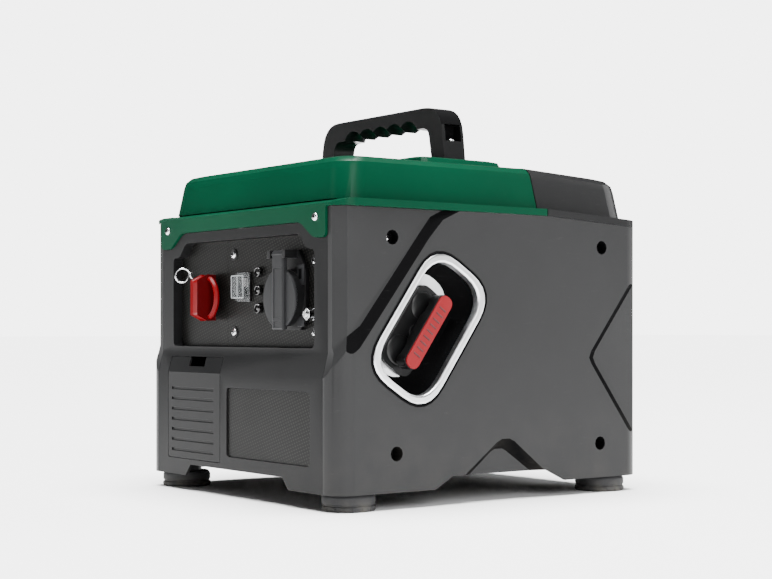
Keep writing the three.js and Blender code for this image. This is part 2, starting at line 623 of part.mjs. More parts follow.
function buildHandle() {
  const { half, top, depth, leg, bar, corner, base, lean } = HANDLE;
  const arch = prism('xz', archOutline(half, top, corner, lean, base), -depth / 2, depth / 2, 6);
  const hand = prism('xz', archOutline(half - leg, top - bar, corner / 3, lean, base - 1), -depth, depth, 4);
  const tools = [hand];
  for (const side of [-1, 1]) {
    const seat = base + HANDLE_SEAT;
    const ends = [side * (half - POCKET), side * (half + 1)].sort((a, b) => a - b);
    tools.push(box([ends[0], -depth / 2 + RIB, seat], [ends[1], depth / 2 - RIB, top - bar + 2]));
    tools.push(rod('z', SHANK_R + GAP, base - 1, seat + 1, [side * handleScrewX, 0], 12));
  }
  const face = depth / 2;
  const wide = FINGER_R + FINGER_FLARE;
  const scoop = [
    [0, -face - 1], [wide + 1, -face - 1], [wide, -face], [FINGER_R + 1, -face / 2], [FINGER_R, 0],
    [FINGER_R + 1, face / 2], [wide, face], [wide + 1, face + 1], [0, face + 1],
  ];
  for (let finger = -2; finger <= 2; finger++) {
    tools.push(lathe(scoop, 28).translate(finger * FINGER_PITCH, 0, top - bar - FINGER_R + FINGER_DEPTH));
  }
  add('carry_handle', cut(solid(arch), ...tools), black);
}

// ---------------------------------------------------------------- screws
// A pan-head screw along +Z from its seat at z = 0.
function panScrew(length) {
  return lathe([
    [0, -length], [SHANK_R, -length], [SHANK_R, GAP], [HEAD_R, GAP], [HEAD_R * 0.7, HEAD_T], [0, HEAD_T],
  ], 12).rotateX(Math.PI / 2);
}

// Adds a screw whose head faces `facing`, seated at `place`.
function addScrew(name, place, facing, length) {
  const mesh = add(name, panScrew(length), chrome);
  mesh.position.set(...place);
  mesh.quaternion.setFromUnitVectors(new THREE.Vector3(0, 0, 1), new THREE.Vector3(...facing));
}

function buildScrews() {
  const apronY = frontY - APRON_PROUD;
  const handleSeat = HANDLE.base + HANDLE_SEAT;
  for (const [label, side] of [['left', -1], ['right', 1]]) {
    addScrew(`apron_screw_${label}`, [side * APRON_SCREW[0], apronY, APRON_SCREW[1]], [0, -1, 0], 6);
    addScrew(`handle_screw_${label}`, [side * handleScrewX, 0, handleSeat], [0, 0, 1], HANDLE_SEAT + 4);
  }
  PLATE_SCREWS.forEach(([x, z], i) => addScrew(`panel_screw_${i + 1}`, [x, plateY, z], [0, -1, 0], 7));
  SIDE_SCREWS.forEach(([y, z], i) => addScrew(`side_screw_${i + 1}`, [wellFloorX, y, z], [1, 0, 0], 8));
}

// ---------------------------------------------------------------- control panel
function buildControlPlates() {
  const seam = GAP / 2;
  const blank = solid(prism('xz', outline(grown(panelPoints, -GAP), PANEL_ROUND), plateY, plateY + PLATE_T));
  const leftHalf = solid(box([-FAR, -FAR, 0], [PLATE_SEAM_X - seam, 0, FAR]));
  const rightHalf = solid(box([PLATE_SEAM_X + seam, -FAR, 0], [FAR, 0, FAR]));
  const hole = (radius, place, segments) => rod('y', radius + GAP, plateY - 5, plateY + 10, place, segments);
  add('control_plate_left', cut(blank.intersect(leftHalf), hole(VALVE_SHAFT_R, [KNOB.x, KNOB.z], 20)), weave);
  add('control_plate_right', cut(blank.intersect(rightHalf), switchBody(GAP),
    hole(SOCKET.bore + WALL, [SOCKET.x, SOCKET.z], 28), hole(STUD.r, [STUD.x, STUD.z], 12),
    ...LAMP.z.map((z) => hole(LAMP.r - 1, [LAMP.x, z], 16)),
    ...PLATE_SCREWS.map((place) => hole(SHANK_R, place, 12))), weave);
}

// The rocker switch's body behind the plate, `grow` larger all round.
function switchBody(grow) {
  const { x, z, w, h } = ROCKER;
  const half = [w / 2 - 2 + grow, h / 2 - 2 + grow];
  return box([x - half[0], plateY - GAP - grow, z - half[1]], [x + half[0], plateY + SWITCH_DEEP, z + half[1]]);
}

// A box around the switch's axis, with half sizes across and up, between two depths.
function switchBox(halfWidth, halfHeight, front, back) {
  const { x, z } = ROCKER;
  return box([x - halfWidth, front, z - halfHeight], [x + halfWidth, back, z + halfHeight]);
}

function buildRocker() {
  const { x, z, w, h, cap, tilt } = ROCKER;
  const lip = 1.8;
  const front = plateY - GAP - lip;
  const skin = 1.2;
  const window = [w / 2 - 4, h / 2 - 4];
  const frame = join(switchBox(w / 2, h / 2, front, plateY - GAP), switchBody(0));
  add('rocker_frame', cut(frame, switchBox(...window, front - 1, plateY + 8)), black);

  const key = [window[0] - 0.6, window[1] - 1.2];
  const paddle = prism('yz', outline([
    [-3, -key[1]], [-1.4, 0], [-3, key[1]], [2.6, key[1] - 3], [2.6, 3 - key[1]],
  ]), -key[0], key[0]);
  paddle.rotateX(-tilt * Math.PI / 180).translate(x, plateY + 1.2, z);
  add('rocker', paddle, black);

  const capFront = front - GAP - cap;
  const capBack = front - GAP;
  const capHalf = [w / 2 - 1.6, h / 2 - 3.4];
  const dome = join(switchBox(...capHalf, capFront, capBack), switchBox(w / 2, h / 2, capBack - skin, capBack));
  add('rocker_cover', cut(dome, switchBox(capHalf[0] - skin, capHalf[1] - skin, capFront + skin, capBack + 1)), clear);
}

function buildLamps() {
  const neck = LAMP.r - 1;
  const profile = [
    [0, -1.4], [1.4, -1.2], [LAMP.r - 2.2, -0.8], [LAMP.r - 2, -2.2], [neck, -2.2], [LAMP.r, -1.6],
    [LAMP.r, -GAP], [neck, -GAP], [neck, 9], [0, 9],
  ];
  LAMP.z.forEach((z, i) => add(`lamp_${i + 1}`, lathe(profile, 14), black).position.set(LAMP.x, plateY, z));
}

// ---------------------------------------------------------------- fuel valve and its knob
function buildFuelValve() {
  const { x, z, r, height, base, ridge } = KNOB;
  const behind = plateY + PLATE_T + 2;
  const shaft = rod('y', VALVE_SHAFT_R, plateY - base + 1 + GAP, behind + 1, [x, z], 20);
  const body = box([x - 13, behind, z - 12], [x + 13, behind + 20, z + 12]);
  const outlet = rod('z', 3.5, z - 26, z - 10, [x, behind + 10], 12);
  add('fuel_valve', join(shaft, body, outlet), castMetal);

  const bore = VALVE_SHAFT_R + GAP;
  const seat = -GAP * 2;
  const rim = base + 1.5;
  const dish = lathe([
    [0, -rim], [r - 6, -rim], [r - 1, -base], [r, 1.5 - base], [r - 4, -5.5], [r - 9, -3], [r - 12, seat],
    [bore, seat], [bore, 1 - base], [0, 1 - base],
  ], 28);
  const half = r - 0.6;
  const grip = prism('yz', outline([[-base, -half], [-base, half], [-height, half - 4], [-height, 4 - half]], 1.5),
    -ridge / 2, ridge / 2, 3);
  add('fuel_knob', join(dish, grip), red).position.set(x, plateY, z);
}

// ---------------------------------------------------------------- mains socket
function buildSocket() {
  const { x, z, r, depth, low, high, half, bore } = SOCKET;
  const flange = prism('xz', outline([
    [x - half, low + 8], [x - half + 9, low], [x + half - 9, low], [x + half, low + 8],
    [x + half, high - 18], [x + half - 11, high], [x - half + 11, high], [x - half, high - 18],
  ]), plateY - GAP - 4, plateY - GAP);
  const collar = rod('y', r - 1.5, plateY - depth, plateY - 1, [x, z], 28);
  const back = rod('y', bore + WALL, plateY - 1, plateY + 24, [x, z], 28);
  const lugX = FLAP_BAR / 2 + GAP + 5;
  const lugs = [-1, 1].map((side) => {
    const ends = [side * lugX, side * (FLAP_BAR / 2 + GAP)].sort((a, b) => a - b);
    return box([x + ends[0], hingeY - HINGE_R, hingeZ - HINGE_R], [x + ends[1], plateY - 1, hingeZ + HINGE_R]);
  });
  const recess = rod('y', bore, plateY - depth - 1, plateY + 6, [x, z], 28);
  const pinHoles = [-1, 1].map((side) => rod('y', 2.6, plateY, plateY + 22, [x + side * 9.5, z], 12));
  const pinHole = rod('x', PIN_R + GAP, x - lugX + 1.5, x + lugX - 1.5, [hingeY, hingeZ], 12);
  add('socket_body', cut(join(flange, collar, back, ...lugs), recess, ...pinHoles, pinHole), black);

  add('flap_pin', rod('x', PIN_R, x - lugX + 1.5 + GAP, x + lugX - 1.5 - GAP, [hingeY, hingeZ], 12), steel);

  const flapBack = plateY - depth - GAP;
  const disc = rod('y', r, flapBack - FLAP_T, flapBack, [x, z], 32);
  const barHalf = FLAP_BAR / 2 - GAP;
  const bar = box([x - barHalf, flapBack - FLAP_T - 2.6, low], [x + barHalf, flapBack, hingeZ]);
  const barrel = rod('x', HINGE_R - GAP, x - barHalf, x + barHalf, [hingeY, hingeZ], 20);
  const bored = rod('x', PIN_R + GAP, x - FLAP_BAR, x + FLAP_BAR, [hingeY, hingeZ], 12);
  add('socket_flap', cut(join(disc, bar, barrel), bored), flapGrey);
}

function buildGroundTerminal() {
  const { x, z, r, length } = STUD;
  const stud = rod('y', r, plateY - length, plateY + 10, [x, z], 16);
  const washer = rod('y', r + 2.6, plateY - GAP - 1.4, plateY - GAP, [x, z], 24);
  add('ground_stud', join(stud, washer), chrome);
  const nut = rod('y', r + 2.6, plateY - 8.5, plateY - 2.1, [x, z], 6);
  const bore = rod('y', r + GAP, plateY - 10, plateY, [x, z], 16);
  add('ground_nut', cut(solid(nut), bore), chrome);
}

function buildWireLoop() {
  const { r, wire, out, turn, x, z } = LOOP;
  const loop = new THREE.TorusGeometry(r, wire, 6, 18).rotateX(Math.PI / 2).rotateZ(turn);
  const foot = [r * Math.cos(turn), 0];
  const stem = rod('y', wire, r * Math.sin(turn), out - GAP, foot, 8);
  add('wire_loop', join(loop, stem), chrome).position.set(x, plateY - out, z);
}

// ---------------------------------------------------------------- recoil starter
// A stack of the starter's slanted outline along X; `levels` are [distance from the middle, size].
function slantStack(grow, levels) {
  const [cy, cz] = SLANT_CENTRE;
  const geometry = stack(outline(slantPoints(grow), SLANT_CUT + grow / 2), levels,
    (y, z, [x, size]) => [cy + (y - cy) * size, cz + (z - cz) * size, x], 6);
  return laid('yz', geometry);
}

// A rounded bar along the slant, `shift` along it from `centre`, from one X to another.
function slantBar(centre, width, length, shift, from, to, round) {
  const [cy, cz] = centre;
  const corner = (a, b) => [
    cy + slant.x * (b * length / 2 + shift) - slant.y * a * width / 2,
    cz + slant.y * (b * length / 2 + shift) + slant.x * a * width / 2,
  ];
  return prism('yz', outline([corner(-1, -1), corner(1, -1), corner(1, 1), corner(-1, 1)], round), from, to, 5);
}

function buildStarter() {
  const mouth = sideX - BEZEL_DEPTH;
  const bezel = slantPrism(0, mouth, sideX + BEZEL_PROUD);
  add('recoil_bezel', cut(solid(bezel), slantPrism(-BEZEL_WIDTH, mouth - 1, sideX + 5)), chrome);

  const floor = sideX - CUP_DEPTH;
  const cupWall = slantStack(-2, [[floor - WALL, CUP_FLOOR_SHARE], [mouth - GAP, 1]]);
  const hollow = slantStack(-2 - WALL, [[floor, CUP_FLOOR_SHARE], [mouth + 1, 1]]);
  const ropeHole = rod('x', ROPE_HOLE, floor - 10, sideX, PULL, 16);
  add('recoil_cup', cut(solid(cupWall), hollow, ropeHole), steel);

  const guide = slantBar(SLANT_CENTRE, GUIDE.width, GUIDE.length, GUIDE.shift, floor + GAP, floor + GUIDE.t, 12);
  add('rope_guide', cut(solid(guide), ropeHole), black);

  const outer = sideX - GRIP.behind - INSERT_T;
  const inner = outer - GRIP.depth + INSERT_T;
  const bar = slantBar(PULL, GRIP.width, GRIP.length, 0, inner, outer - GAP, GRIP.width / 2);
  const ropeEnd = rod('x', ROPE_R + GAP, inner - 1, inner + 6, PULL, 12);
  const waist = [-1, 1].map((side) => {
    const shift = side * GRIP.length * 0.29;
    const place = [PULL[0] + slant.x * shift, PULL[1] + slant.y * shift];
    return new THREE.CylinderGeometry(WAIST_R, WAIST_R, GRIP.width * 2, 20)
      .rotateX(Math.atan2(slant.y, slant.x) + Math.PI / 2).translate(inner - WAIST_R + GRIP.waist, ...place);
  });
  add('starter_grip', cut(solid(bar), ropeEnd, ...waist), black);
  const insert = slantBar(PULL, GRIP.width - 1.6, GRIP.length - 1.6, 0, outer, outer + INSERT_T, GRIP.width / 2 - 0.8);
  add('grip_insert', insert, red);

  const ropeFrom = ROPE_R * 2;
  add('starter_rope', rod('x', ROPE_R, ropeFrom, inner + 5, PULL, 10), cordBlack);
}

function buildPulley() {
  const y = PULL[0];
  const half = PULLEY.t / 2;
  const groove = PULLEY.r - ROPE_R - GAP;
  const bore = CRANK_R + 4;
  const rim = PULLEY.r + ROPE_R;
  const wheel = lathe([
    [bore, -half], [rim, -half], [rim, -half + 1.5], [groove, -ROPE_R - 1], [groove, ROPE_R + 1], [rim, half - 1.5],
    [rim, half], [bore, half], [bore, -half],
  ], 24);
  add('recoil_pulley', wheel, black).position.set(0, y, CRANK_Z);
}

// ---------------------------------------------------------------- front door and nameplate
function buildServiceDoor() {
  const skin = casingBody(0).subtract(casingBody(DOOR_T));
  const face = solid(prism('xz', rectangle([DOOR.x[0], DOOR.z[0]], [DOOR.x[1], DOOR.z[1]], 3), lowFrontY - 5, frontY + 5));
  const tools = [box([FINGER_SLOT.x[0], lowFrontY - 5, FINGER_SLOT.low], [FINGER_SLOT.x[1], frontY + 5, DOOR.z[1] + 5])];
  for (let row = 0; row < DOOR.slots; row++) {
    const z = DOOR.firstZ - row * DOOR.pitch;
    tools.push(box([DOOR.x[0] + 7, lowFrontY - 5, z - LOUVRE / 2], [DOOR.x[1] - 12, lowFrontY + 1.2, z + LOUVRE / 2]));
  }
  add('service_door', cut(skin.intersect(face), ...tools), charcoal);
}

function buildNameplate() {
  const shape = rectangle([BADGE.x[0] + GAP, BADGE.z[0] + GAP], [BADGE.x[1] - GAP, BADGE.z[1] - GAP], 5);
  add('nameplate', prism('xz', shape, lowFrontY + BADGE.depth, lowFrontY + BADGE.depth + 1), weave);
}

// ---------------------------------------------------------------- engine and generator inside
function buildRotor() {
  const shaft = rod('y', CRANK_R, ENGINE.front - 40, ENGINE.back - 6, [0, CRANK_Z], 24);
  const web = rod('y', 26, ENGINE.webY, ENGINE.webY + 12, [0, CRANK_Z], 20);
  add('crankshaft', join(shaft, web), steel);

  const face = ENGINE.front - 38;
  const fan = lathe([
    [CRANK_R + GAP, face], [FLYWHEEL_R, face], [FLYWHEEL_R, face + 26], [FLYWHEEL_R - 7, face + 26],
    [FLYWHEEL_R - 7, face + 6], [CRANK_R + GAP, face + 6], [CRANK_R + GAP, face],
  ], 28);
  const blades = [];
  for (let i = 0; i < FAN_BLADES; i++) {
    const blade = new THREE.BoxGeometry(20, 7, 2.4).translate(FLYWHEEL_R - 12, face - 2.5, 0);
    blades.push(blade.rotateY(i / FAN_BLADES * 2 * Math.PI));
  }
  add('flywheel_fan', join(fan, ...blades), castMetal).position.set(0, 0, CRANK_Z);

  const stator = lathe([
    [CRANK_R + 3, face + 9], [FLYWHEEL_R - 12, face + 9], [FLYWHEEL_R - 12, face + 24], [CRANK_R + 3, face + 24],
    [CRANK_R + 3, face + 9],
  ], 24);
  const windows = [];
  for (let i = 0; i < COILS; i++) {
    windows.push(new THREE.BoxGeometry(10, 30, 5).translate(FLYWHEEL_R - 14, face + 16, 0).rotateY(i / COILS * 2 * Math.PI));
  }
  const foot = box([-11, face + 22, -14], [11, ENGINE.front - GAP, -11.5]);
  add('stator', cut(join(stator, foot), ...windows), copper).position.set(0, 0, CRANK_Z);
}

function buildEngine() {
  const { front, back, half, low, high, head } = ENGINE;
  const crankcase = box([-half, front, low], [half, back, high]);
  const feet = box([-half - 12, front + 10, BASE_Z + BASE_PLATE + GAP], [half + 12, back - 10, low + 1]);
  const barrel = rod('x', 27, -head, -half + 1, [(front + back) / 2, CRANK_Z], 16);
  const fins = [];
  for (let i = 0; i < 6; i++) {
    const x = -head + 4 + i * 10;
    fins.push(box([x, (front + back) / 2 - 37, CRANK_Z - 37], [x + 4, (front + back) / 2 + 37, CRANK_Z + 37]));
  }
  const bearing = rod('y', CRANK_R + GAP, front - 1, back + 1, [0, CRANK_Z], 24);
  const sump = rod('y', 30, ENGINE.webY - 3, ENGINE.webY + 15, [0, CRANK_Z], 20);
  const plugSeat = rod('x', 5 + GAP, -head - 1, -head + 12, [(front + back) / 2, CRANK_Z], 16);
  add('engine_block', cut(join(crankcase, feet, barrel, ...fins), bearing, sump, plugSeat), castMetal);

  const plugPlace = [(front + back) / 2, CRANK_Z];
  const thread = rod('x', 5, -head - 2, -head + 11, plugPlace, 16);
  const hex = rod('x', 8, -head - 8, -head - GAP, plugPlace, 6);
  const insulator = rod('x', 4, -head - 24, -head - 6, plugPlace, 16);
  add('spark_plug', join(thread, hex, insulator), steel);
}

function buildExhaust() {
  const { x, z, r, wall } = EXHAUST;
  const can = prism('xz', rectangle([x - 25, z - 20], [x + 115, z + 42], 14), ENGINE.back + 14, rearY - 24, 5);
  const tail = rod('y', r, rearY - 26, rearY - 1, [x, z], 24);
  const bore = rod('y', r - wall, rearY - 40, rearY + 1, [x, z], 20);
  add('muffler', cut(join(can, tail), bore), steel);
}

function buildFuelTank() {
  const { w, d, y, low, high, neck } = TANK;
  const body = prism('xy', rectangle([-w / 2, y - d / 2], [w / 2, y + d / 2], 16), low, high, 4);
  const pipe = rod('z', neck, high - 1, NECK_TOP, [0, capY], 28);
  const mouth = rod('z', neck - 4, low + WALL, NECK_TOP + 1, [0, capY], 24);
  const room = box([WALL - w / 2, y - d / 2 + WALL, low + WALL], [w / 2 - WALL, y + d / 2 - WALL, high - WALL]);
  add('fuel_tank', cut(join(body, pipe), mouth, room), black);

  const under = capUnder;
  const cap = lathe([
    [0, NECK_TOP + GAP], [neck + GAP, NECK_TOP + GAP], [neck + GAP, under], [CAP.r - 1, under], [CAP.r, under + 1.5],
    [CAP.r, under + CAP.h - 2], [CAP.r - 2, under + CAP.h], [0, under + CAP.h],
  ], 24).rotateX(Math.PI / 2);
  const ribs = [];
  for (let i = 0; i < CAP.notches; i++) {
    const notch = new THREE.BoxGeometry(3, 3, CAP.h * 2).translate(CAP.r, 0, under + CAP.h / 2);
    ribs.push(notch.rotateZ((i + 0.5) / CAP.notches * 2 * Math.PI));
  }
  add('fuel_cap', cut(solid(cap), ...ribs), black).position.set(0, capY, 0);
}

function buildIntake() {
  const front = lowFrontY + 9;
  const filter = prism('xz', rectangle([DOOR.x[0] + 6, DOOR.z[0] + 8], [DOOR.x[1] - 6, DOOR.z[1] - 14], 8), front, front + 38);
  add('air_filter', filter, black);
  const bowl = rod('z', 15, 78, 100, [-78, front + 60], 24);
  const throat = rod('y', 13, front + 38 + GAP, front + 84, [-78, 108], 24);
  const bore = rod('y', 9, front, front + 100, [-78, 108], 20);
  add('carburetor', cut(join(bowl, throat), bore), castMetal);
}

function buildInverter() {
  const front = lowFrontY + 11;
  const { x } = BADGE;
  const body = box([x[0], front, 40], [x[1], front + 34, 118]);
  const fins = [];
  for (let i = 0; i < 9; i++) {
    const at = x[0] + 8 + i * 14;
    fins.push(box([at, front + 8, 39], [at + 9, front + 26, 44]));
  }
  add('inverter_module', cut(solid(body), ...fins), steel);
}

// ---------------------------------------------------------------- build
buildCasing();
buildServiceDoor();
buildNameplate();
buildBaseTray();
buildFeet();
buildTopCover();
buildRearTopCover();
buildHandle();
buildControlPlates();
buildRocker();
buildLamps();
buildFuelValve();
buildSocket();
buildGroundTerminal();
buildWireLoop();
buildStarter();
buildPulley();
buildRotor();
buildEngine();
buildExhaust();
buildFuelTank();
buildIntake();
buildInverter();
buildScrews();

// The machine stands on the middle of its base.
const extent = new THREE.Box3().setFromObject(machine, true);
const middle = extent.getCenter(new THREE.Vector3());
machine.position.set(-middle.x, -middle.y, -extent.min.z);

export default machine;
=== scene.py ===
"""The looks of a portable inverter generator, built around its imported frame."""
import logging
import math
from abc import ABC, abstractmethod
from dataclasses import dataclass, field
from enum import Enum
from typing import Any, Callable, Iterable, Sequence

import bmesh
import bpy
from mathutils import Matrix, Vector


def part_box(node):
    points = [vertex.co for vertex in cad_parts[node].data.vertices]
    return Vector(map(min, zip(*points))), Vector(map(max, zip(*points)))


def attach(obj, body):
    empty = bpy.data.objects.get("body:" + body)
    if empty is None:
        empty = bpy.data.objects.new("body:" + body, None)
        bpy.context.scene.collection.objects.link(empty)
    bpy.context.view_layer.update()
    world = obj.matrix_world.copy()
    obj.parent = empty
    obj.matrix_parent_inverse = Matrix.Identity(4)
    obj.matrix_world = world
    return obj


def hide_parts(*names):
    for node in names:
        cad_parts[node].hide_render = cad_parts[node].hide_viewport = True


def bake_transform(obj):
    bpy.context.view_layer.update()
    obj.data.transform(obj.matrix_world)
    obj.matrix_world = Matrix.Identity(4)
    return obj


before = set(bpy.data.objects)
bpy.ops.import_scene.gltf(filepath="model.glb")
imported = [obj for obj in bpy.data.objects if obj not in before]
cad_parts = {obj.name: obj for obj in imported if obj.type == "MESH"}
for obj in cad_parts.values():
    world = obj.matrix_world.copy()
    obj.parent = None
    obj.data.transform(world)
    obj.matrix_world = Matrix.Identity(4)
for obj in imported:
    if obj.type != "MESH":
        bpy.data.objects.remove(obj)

LOG = logging.getLogger("generator")
MM = 0.001
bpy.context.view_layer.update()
HANDLE_LOW, HANDLE_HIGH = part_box("carry_handle")
DATUM = Vector(((HANDLE_LOW.x + HANDLE_HIGH.x) / 2, (HANDLE_LOW.y + HANDLE_HIGH.y) / 2, 0.0))
Colour = tuple[float, float, float, float]
Point = tuple[float, float, float]


def to_frame(point: Sequence[float]) -> Vector:
    """A point in millimetres from the machine's middle, in the frame's metres."""
    return Vector(point) * MM + DATUM


def rgb(red: float, green: float, blue: float) -> Colour:
    """An opaque colour from its three linear shares."""
    return (red, green, blue, 1.0)


class Slot(Enum):
    """The record's material slots that the new pieces take."""

    CHARCOAL = "charcoal_plastic"
    BLACK = "black_plastic"
    GREEN = "green_plastic"
    RUBBER = "foot_rubber"
    RED = "red_plastic"
    GREY = "flap_grey"
    CLEAR = "clear_plastic"
    CHROME = "chrome"
    STEEL = "steel"
    CORD = "cord_black"


class Axis(Enum):
    """The axis that a turned shape stands on."""

    X = Matrix.Rotation(math.pi / 2, 4, "Y")
    Y = Matrix.Rotation(-math.pi / 2, 4, "X")
    Z = Matrix.Identity(4)


# ---------------------------------------------------------------- shader maths
class Wire:
    """A value in a finish's node tree that Python's operators work on."""

    def __init__(self, book: "FinishBook", socket: bpy.types.NodeSocket) -> None:
        """Keeps the tree and the output socket."""
        self.book = book
        self.socket = socket

    def maths(self, operation: str, other: "Wire | float", swapped: bool = False) -> "Wire":
        """One Math node on this value and another.

        Args:
            operation: the Math node's operation.
            other: the second value.
            swapped: puts the other value first.

        Returns:
            The node's result.
        """
        pair = (other, self) if swapped else (self, other)
        return self.book.node("ShaderNodeMath", {"operation": operation}, dict(enumerate(pair)))

    def __add__(self, other: "Wire | float") -> "Wire":
        """The sum of two values."""
        return self.maths("ADD", other)

    __radd__ = __add__

    def __sub__(self, other: "Wire | float") -> "Wire":
        """This value less another."""
        return self.maths("SUBTRACT", other)

    def __rsub__(self, other: float) -> "Wire":
        """A number less this value."""
        return self.maths("SUBTRACT", other, swapped=True)

    def __mul__(self, other: "Wire | float") -> "Wire":
        """The product of two values."""
        return self.maths("MULTIPLY", other)

    __rmul__ = __mul__

    def sine(self) -> "Wire":
        """The sine of this value."""
        return self.maths("SINE", 0.0)

    def within(self, low: float, high: float) -> "Wire":
        """This value taken from low..high to 0..1 and held there."""
        limits = {"Value": self, "From Min": low, "From Max": high}
        return self.book.node("ShaderNodeMapRange", {"clamp": True}, limits)


class FinishBook:
    """One material's node tree, written through one node-making method."""

    def __init__(self, name: str) -> None:
        """Starts a material with a Principled shader."""
        self.material = bpy.data.materials.new(name)
        self.material.use_nodes = True
        self.tree = self.material.node_tree
        self.shader = self.tree.nodes["Principled BSDF"]
        self.place = self.node("ShaderNodeTexCoord", {}, {}, "Object")

    def node(self, kind: str, settings: dict[str, Any], sockets: dict[Any, Any], output: Any = 0) -> Wire:
        """Makes any node.

        Args:
            kind: the node's type.
            settings: its own settings, set first.
            sockets: values or wires for its inputs.
            output: the output that is returned.

        Returns:
            The chosen output.
        """
        made = self.tree.nodes.new(kind)
        for key, value in settings.items():
            setattr(made, key, value)
        for key, value in sockets.items():
            if isinstance(value, Wire):
                self.tree.links.new(value.socket, made.inputs[key])
            else:
                made.inputs[key].default_value = value
        return Wire(self, made.outputs[output])

    def stretched(self, scale: Point, turn: Point = (0.0, 0.0, 0.0)) -> Wire:
        """Object coordinates scaled and turned by a Mapping node."""
        return self.node("ShaderNodeMapping", {}, {"Vector": self.place, "Scale": scale, "Rotation": turn})

    def noise(self, scale: float, detail: float = 3.0, place: Wire | None = None, rough: float = 0.5) -> Wire:
        """Fractal noise about 0.5."""
        sockets = {"Vector": place or self.place, "Scale": scale, "Detail": detail, "Roughness": rough}
        return self.node("ShaderNodeTexNoise", {}, sockets, "Fac")

    def cells(self, scale: float) -> Wire:
        """Distance to the nearest cell's middle."""
        return self.node("ShaderNodeTexVoronoi", {}, {"Vector": self.place, "Scale": scale}, "Distance")

    def parts(self) -> tuple[Wire, Wire, Wire]:
        """The three Object coordinates as values."""
        made = self.node("ShaderNodeSeparateXYZ", {}, {"Vector": self.place})
        return tuple(Wire(self, socket) for socket in made.socket.node.outputs)

    def mixed(self, factor: Wire | float, first: Any, second: Any) -> Wire:
        """Two colours mixed by a factor."""
        sockets = {0: factor, 6: first, 7: second}
        return self.node("ShaderNodeMix", {"data_type": "RGBA"}, sockets, 2)

    def bump(self, height: Wire, strength: float, distance: float) -> Wire:
        """A bump of a height map, distance in metres."""
        return self.node("ShaderNodeBump", {}, {"Height": height, "Strength": strength, "Distance": distance})

    def fixed(self, **numbers: Any) -> None:
        """Sets constants on the shader's own sockets, spaces written as underscores."""
        for key, value in numbers.items():
            self.shader.inputs[key.replace("_", " ")].default_value = value

    def linked(self, colour: Wire, rough: Wire, normal: Wire) -> None:
        """Feeds the three varying channels that every finish has."""
        for key, wire in (("Base Color", colour), ("Roughness", rough), ("Normal", normal)):
            self.tree.links.new(wire.socket, self.shader.inputs[key])


class Finish(ABC):
    """A finish that paints one material the first time it is asked for."""

    def material(self) -> bpy.types.Material:
        """The finish's material, made once."""
        name = type(self).__name__ + "_" + getattr(self, "label", "plain")
        found = bpy.data.materials.get(name)
        if found:
            return found
        book = FinishBook(name)
        self.paint(book)
        return book.material

    @abstractmethod
    def paint(self, book: FinishBook) -> None:
        """Writes the finish's nodes."""


@dataclass(frozen=True)
class Moulded(Finish):
    """Moulded plastic with a spark-eroded grain, uneven gloss and a little dust near the ground."""

    label: str
    tone: Colour
    rough: float = 0.42
    grain: float = 900.0
    relief: float = 0.35
    shade: float = 0.18
    dust: float = 0.35
    coat: float = 0.0
    gleam: float = 0.42

    def paint(self, book: FinishBook) -> None:
        """Mixes tone, dust and scuffs, and lays the grain as a bump."""
        cloud = book.noise(9.0, 3.0)
        grain = book.cells(self.grain) * 0.6 + book.noise(self.grain * 0.6, 2.0) * 0.4
        drawn = book.stretched((1.0, 1.0, 7.0), (0.3, 0.5, 0.2))
        scuff = book.noise(60.0, 6.0, drawn, 0.65).within(0.62, 0.8)
        height = book.parts()[2]
        low = 1.0 - height.within(0.0, 0.09)
        dust = low * book.noise(35.0, 5.0).within(0.4, 0.75) * self.dust
        dark = tuple(c * (1 - self.shade) for c in self.tone[:3]) + (1.0,)
        light = tuple(min(1.0, c * (1 + self.shade)) for c in self.tone[:3]) + (1.0,)
        body = book.mixed(cloud.within(0.3, 0.7) * 0.6 + grain * 0.4, dark, light)
        pale = book.mixed(scuff * 0.03, body, rgb(0.3, 0.3, 0.29))
        colour = book.mixed(dust * 0.35, pale, rgb(0.17, 0.155, 0.13))
        gloss = cloud * 0.08 + scuff * 0.08 + dust * 0.2 + (self.rough - 0.04)
        book.fixed(Specular_IOR_Level=self.gleam, Coat_Weight=self.coat, Coat_Roughness=0.18)
        book.linked(colour, gloss, book.bump(grain, self.relief, 0.00012))


@dataclass(frozen=True)
class SatinLid(Finish):
    """Deep green semi-gloss moulding with a faint orange peel and fine wiping marks."""

    label: str
    tone: Colour

    def paint(self, book: FinishBook) -> None:
        """Mixes the green, its wiping marks and its peel."""
        cloud = book.noise(7.0, 2.0)
        peel = book.noise(420.0, 2.0)
        wipe = book.noise(26.0, 6.0, book.stretched((0.4, 5.0, 5.0), (0.0, 0.0, 0.4)), 0.7)
        deep = tuple(c * 0.82 for c in self.tone[:3]) + (1.0,)
        clear = tuple(c * 1.15 for c in self.tone[:3]) + (1.0,)
        body = book.mixed(cloud.within(0.3, 0.7), deep, clear)
        colour = book.mixed(wipe.within(0.66, 0.85) * 0.02, body, rgb(0.25, 0.33, 0.29))
        gloss = wipe * 0.12 + peel * 0.04 + 0.22
        book.fixed(Specular_IOR_Level=0.09)
        book.linked(colour, gloss, book.bump(peel, 0.12, 0.0001))


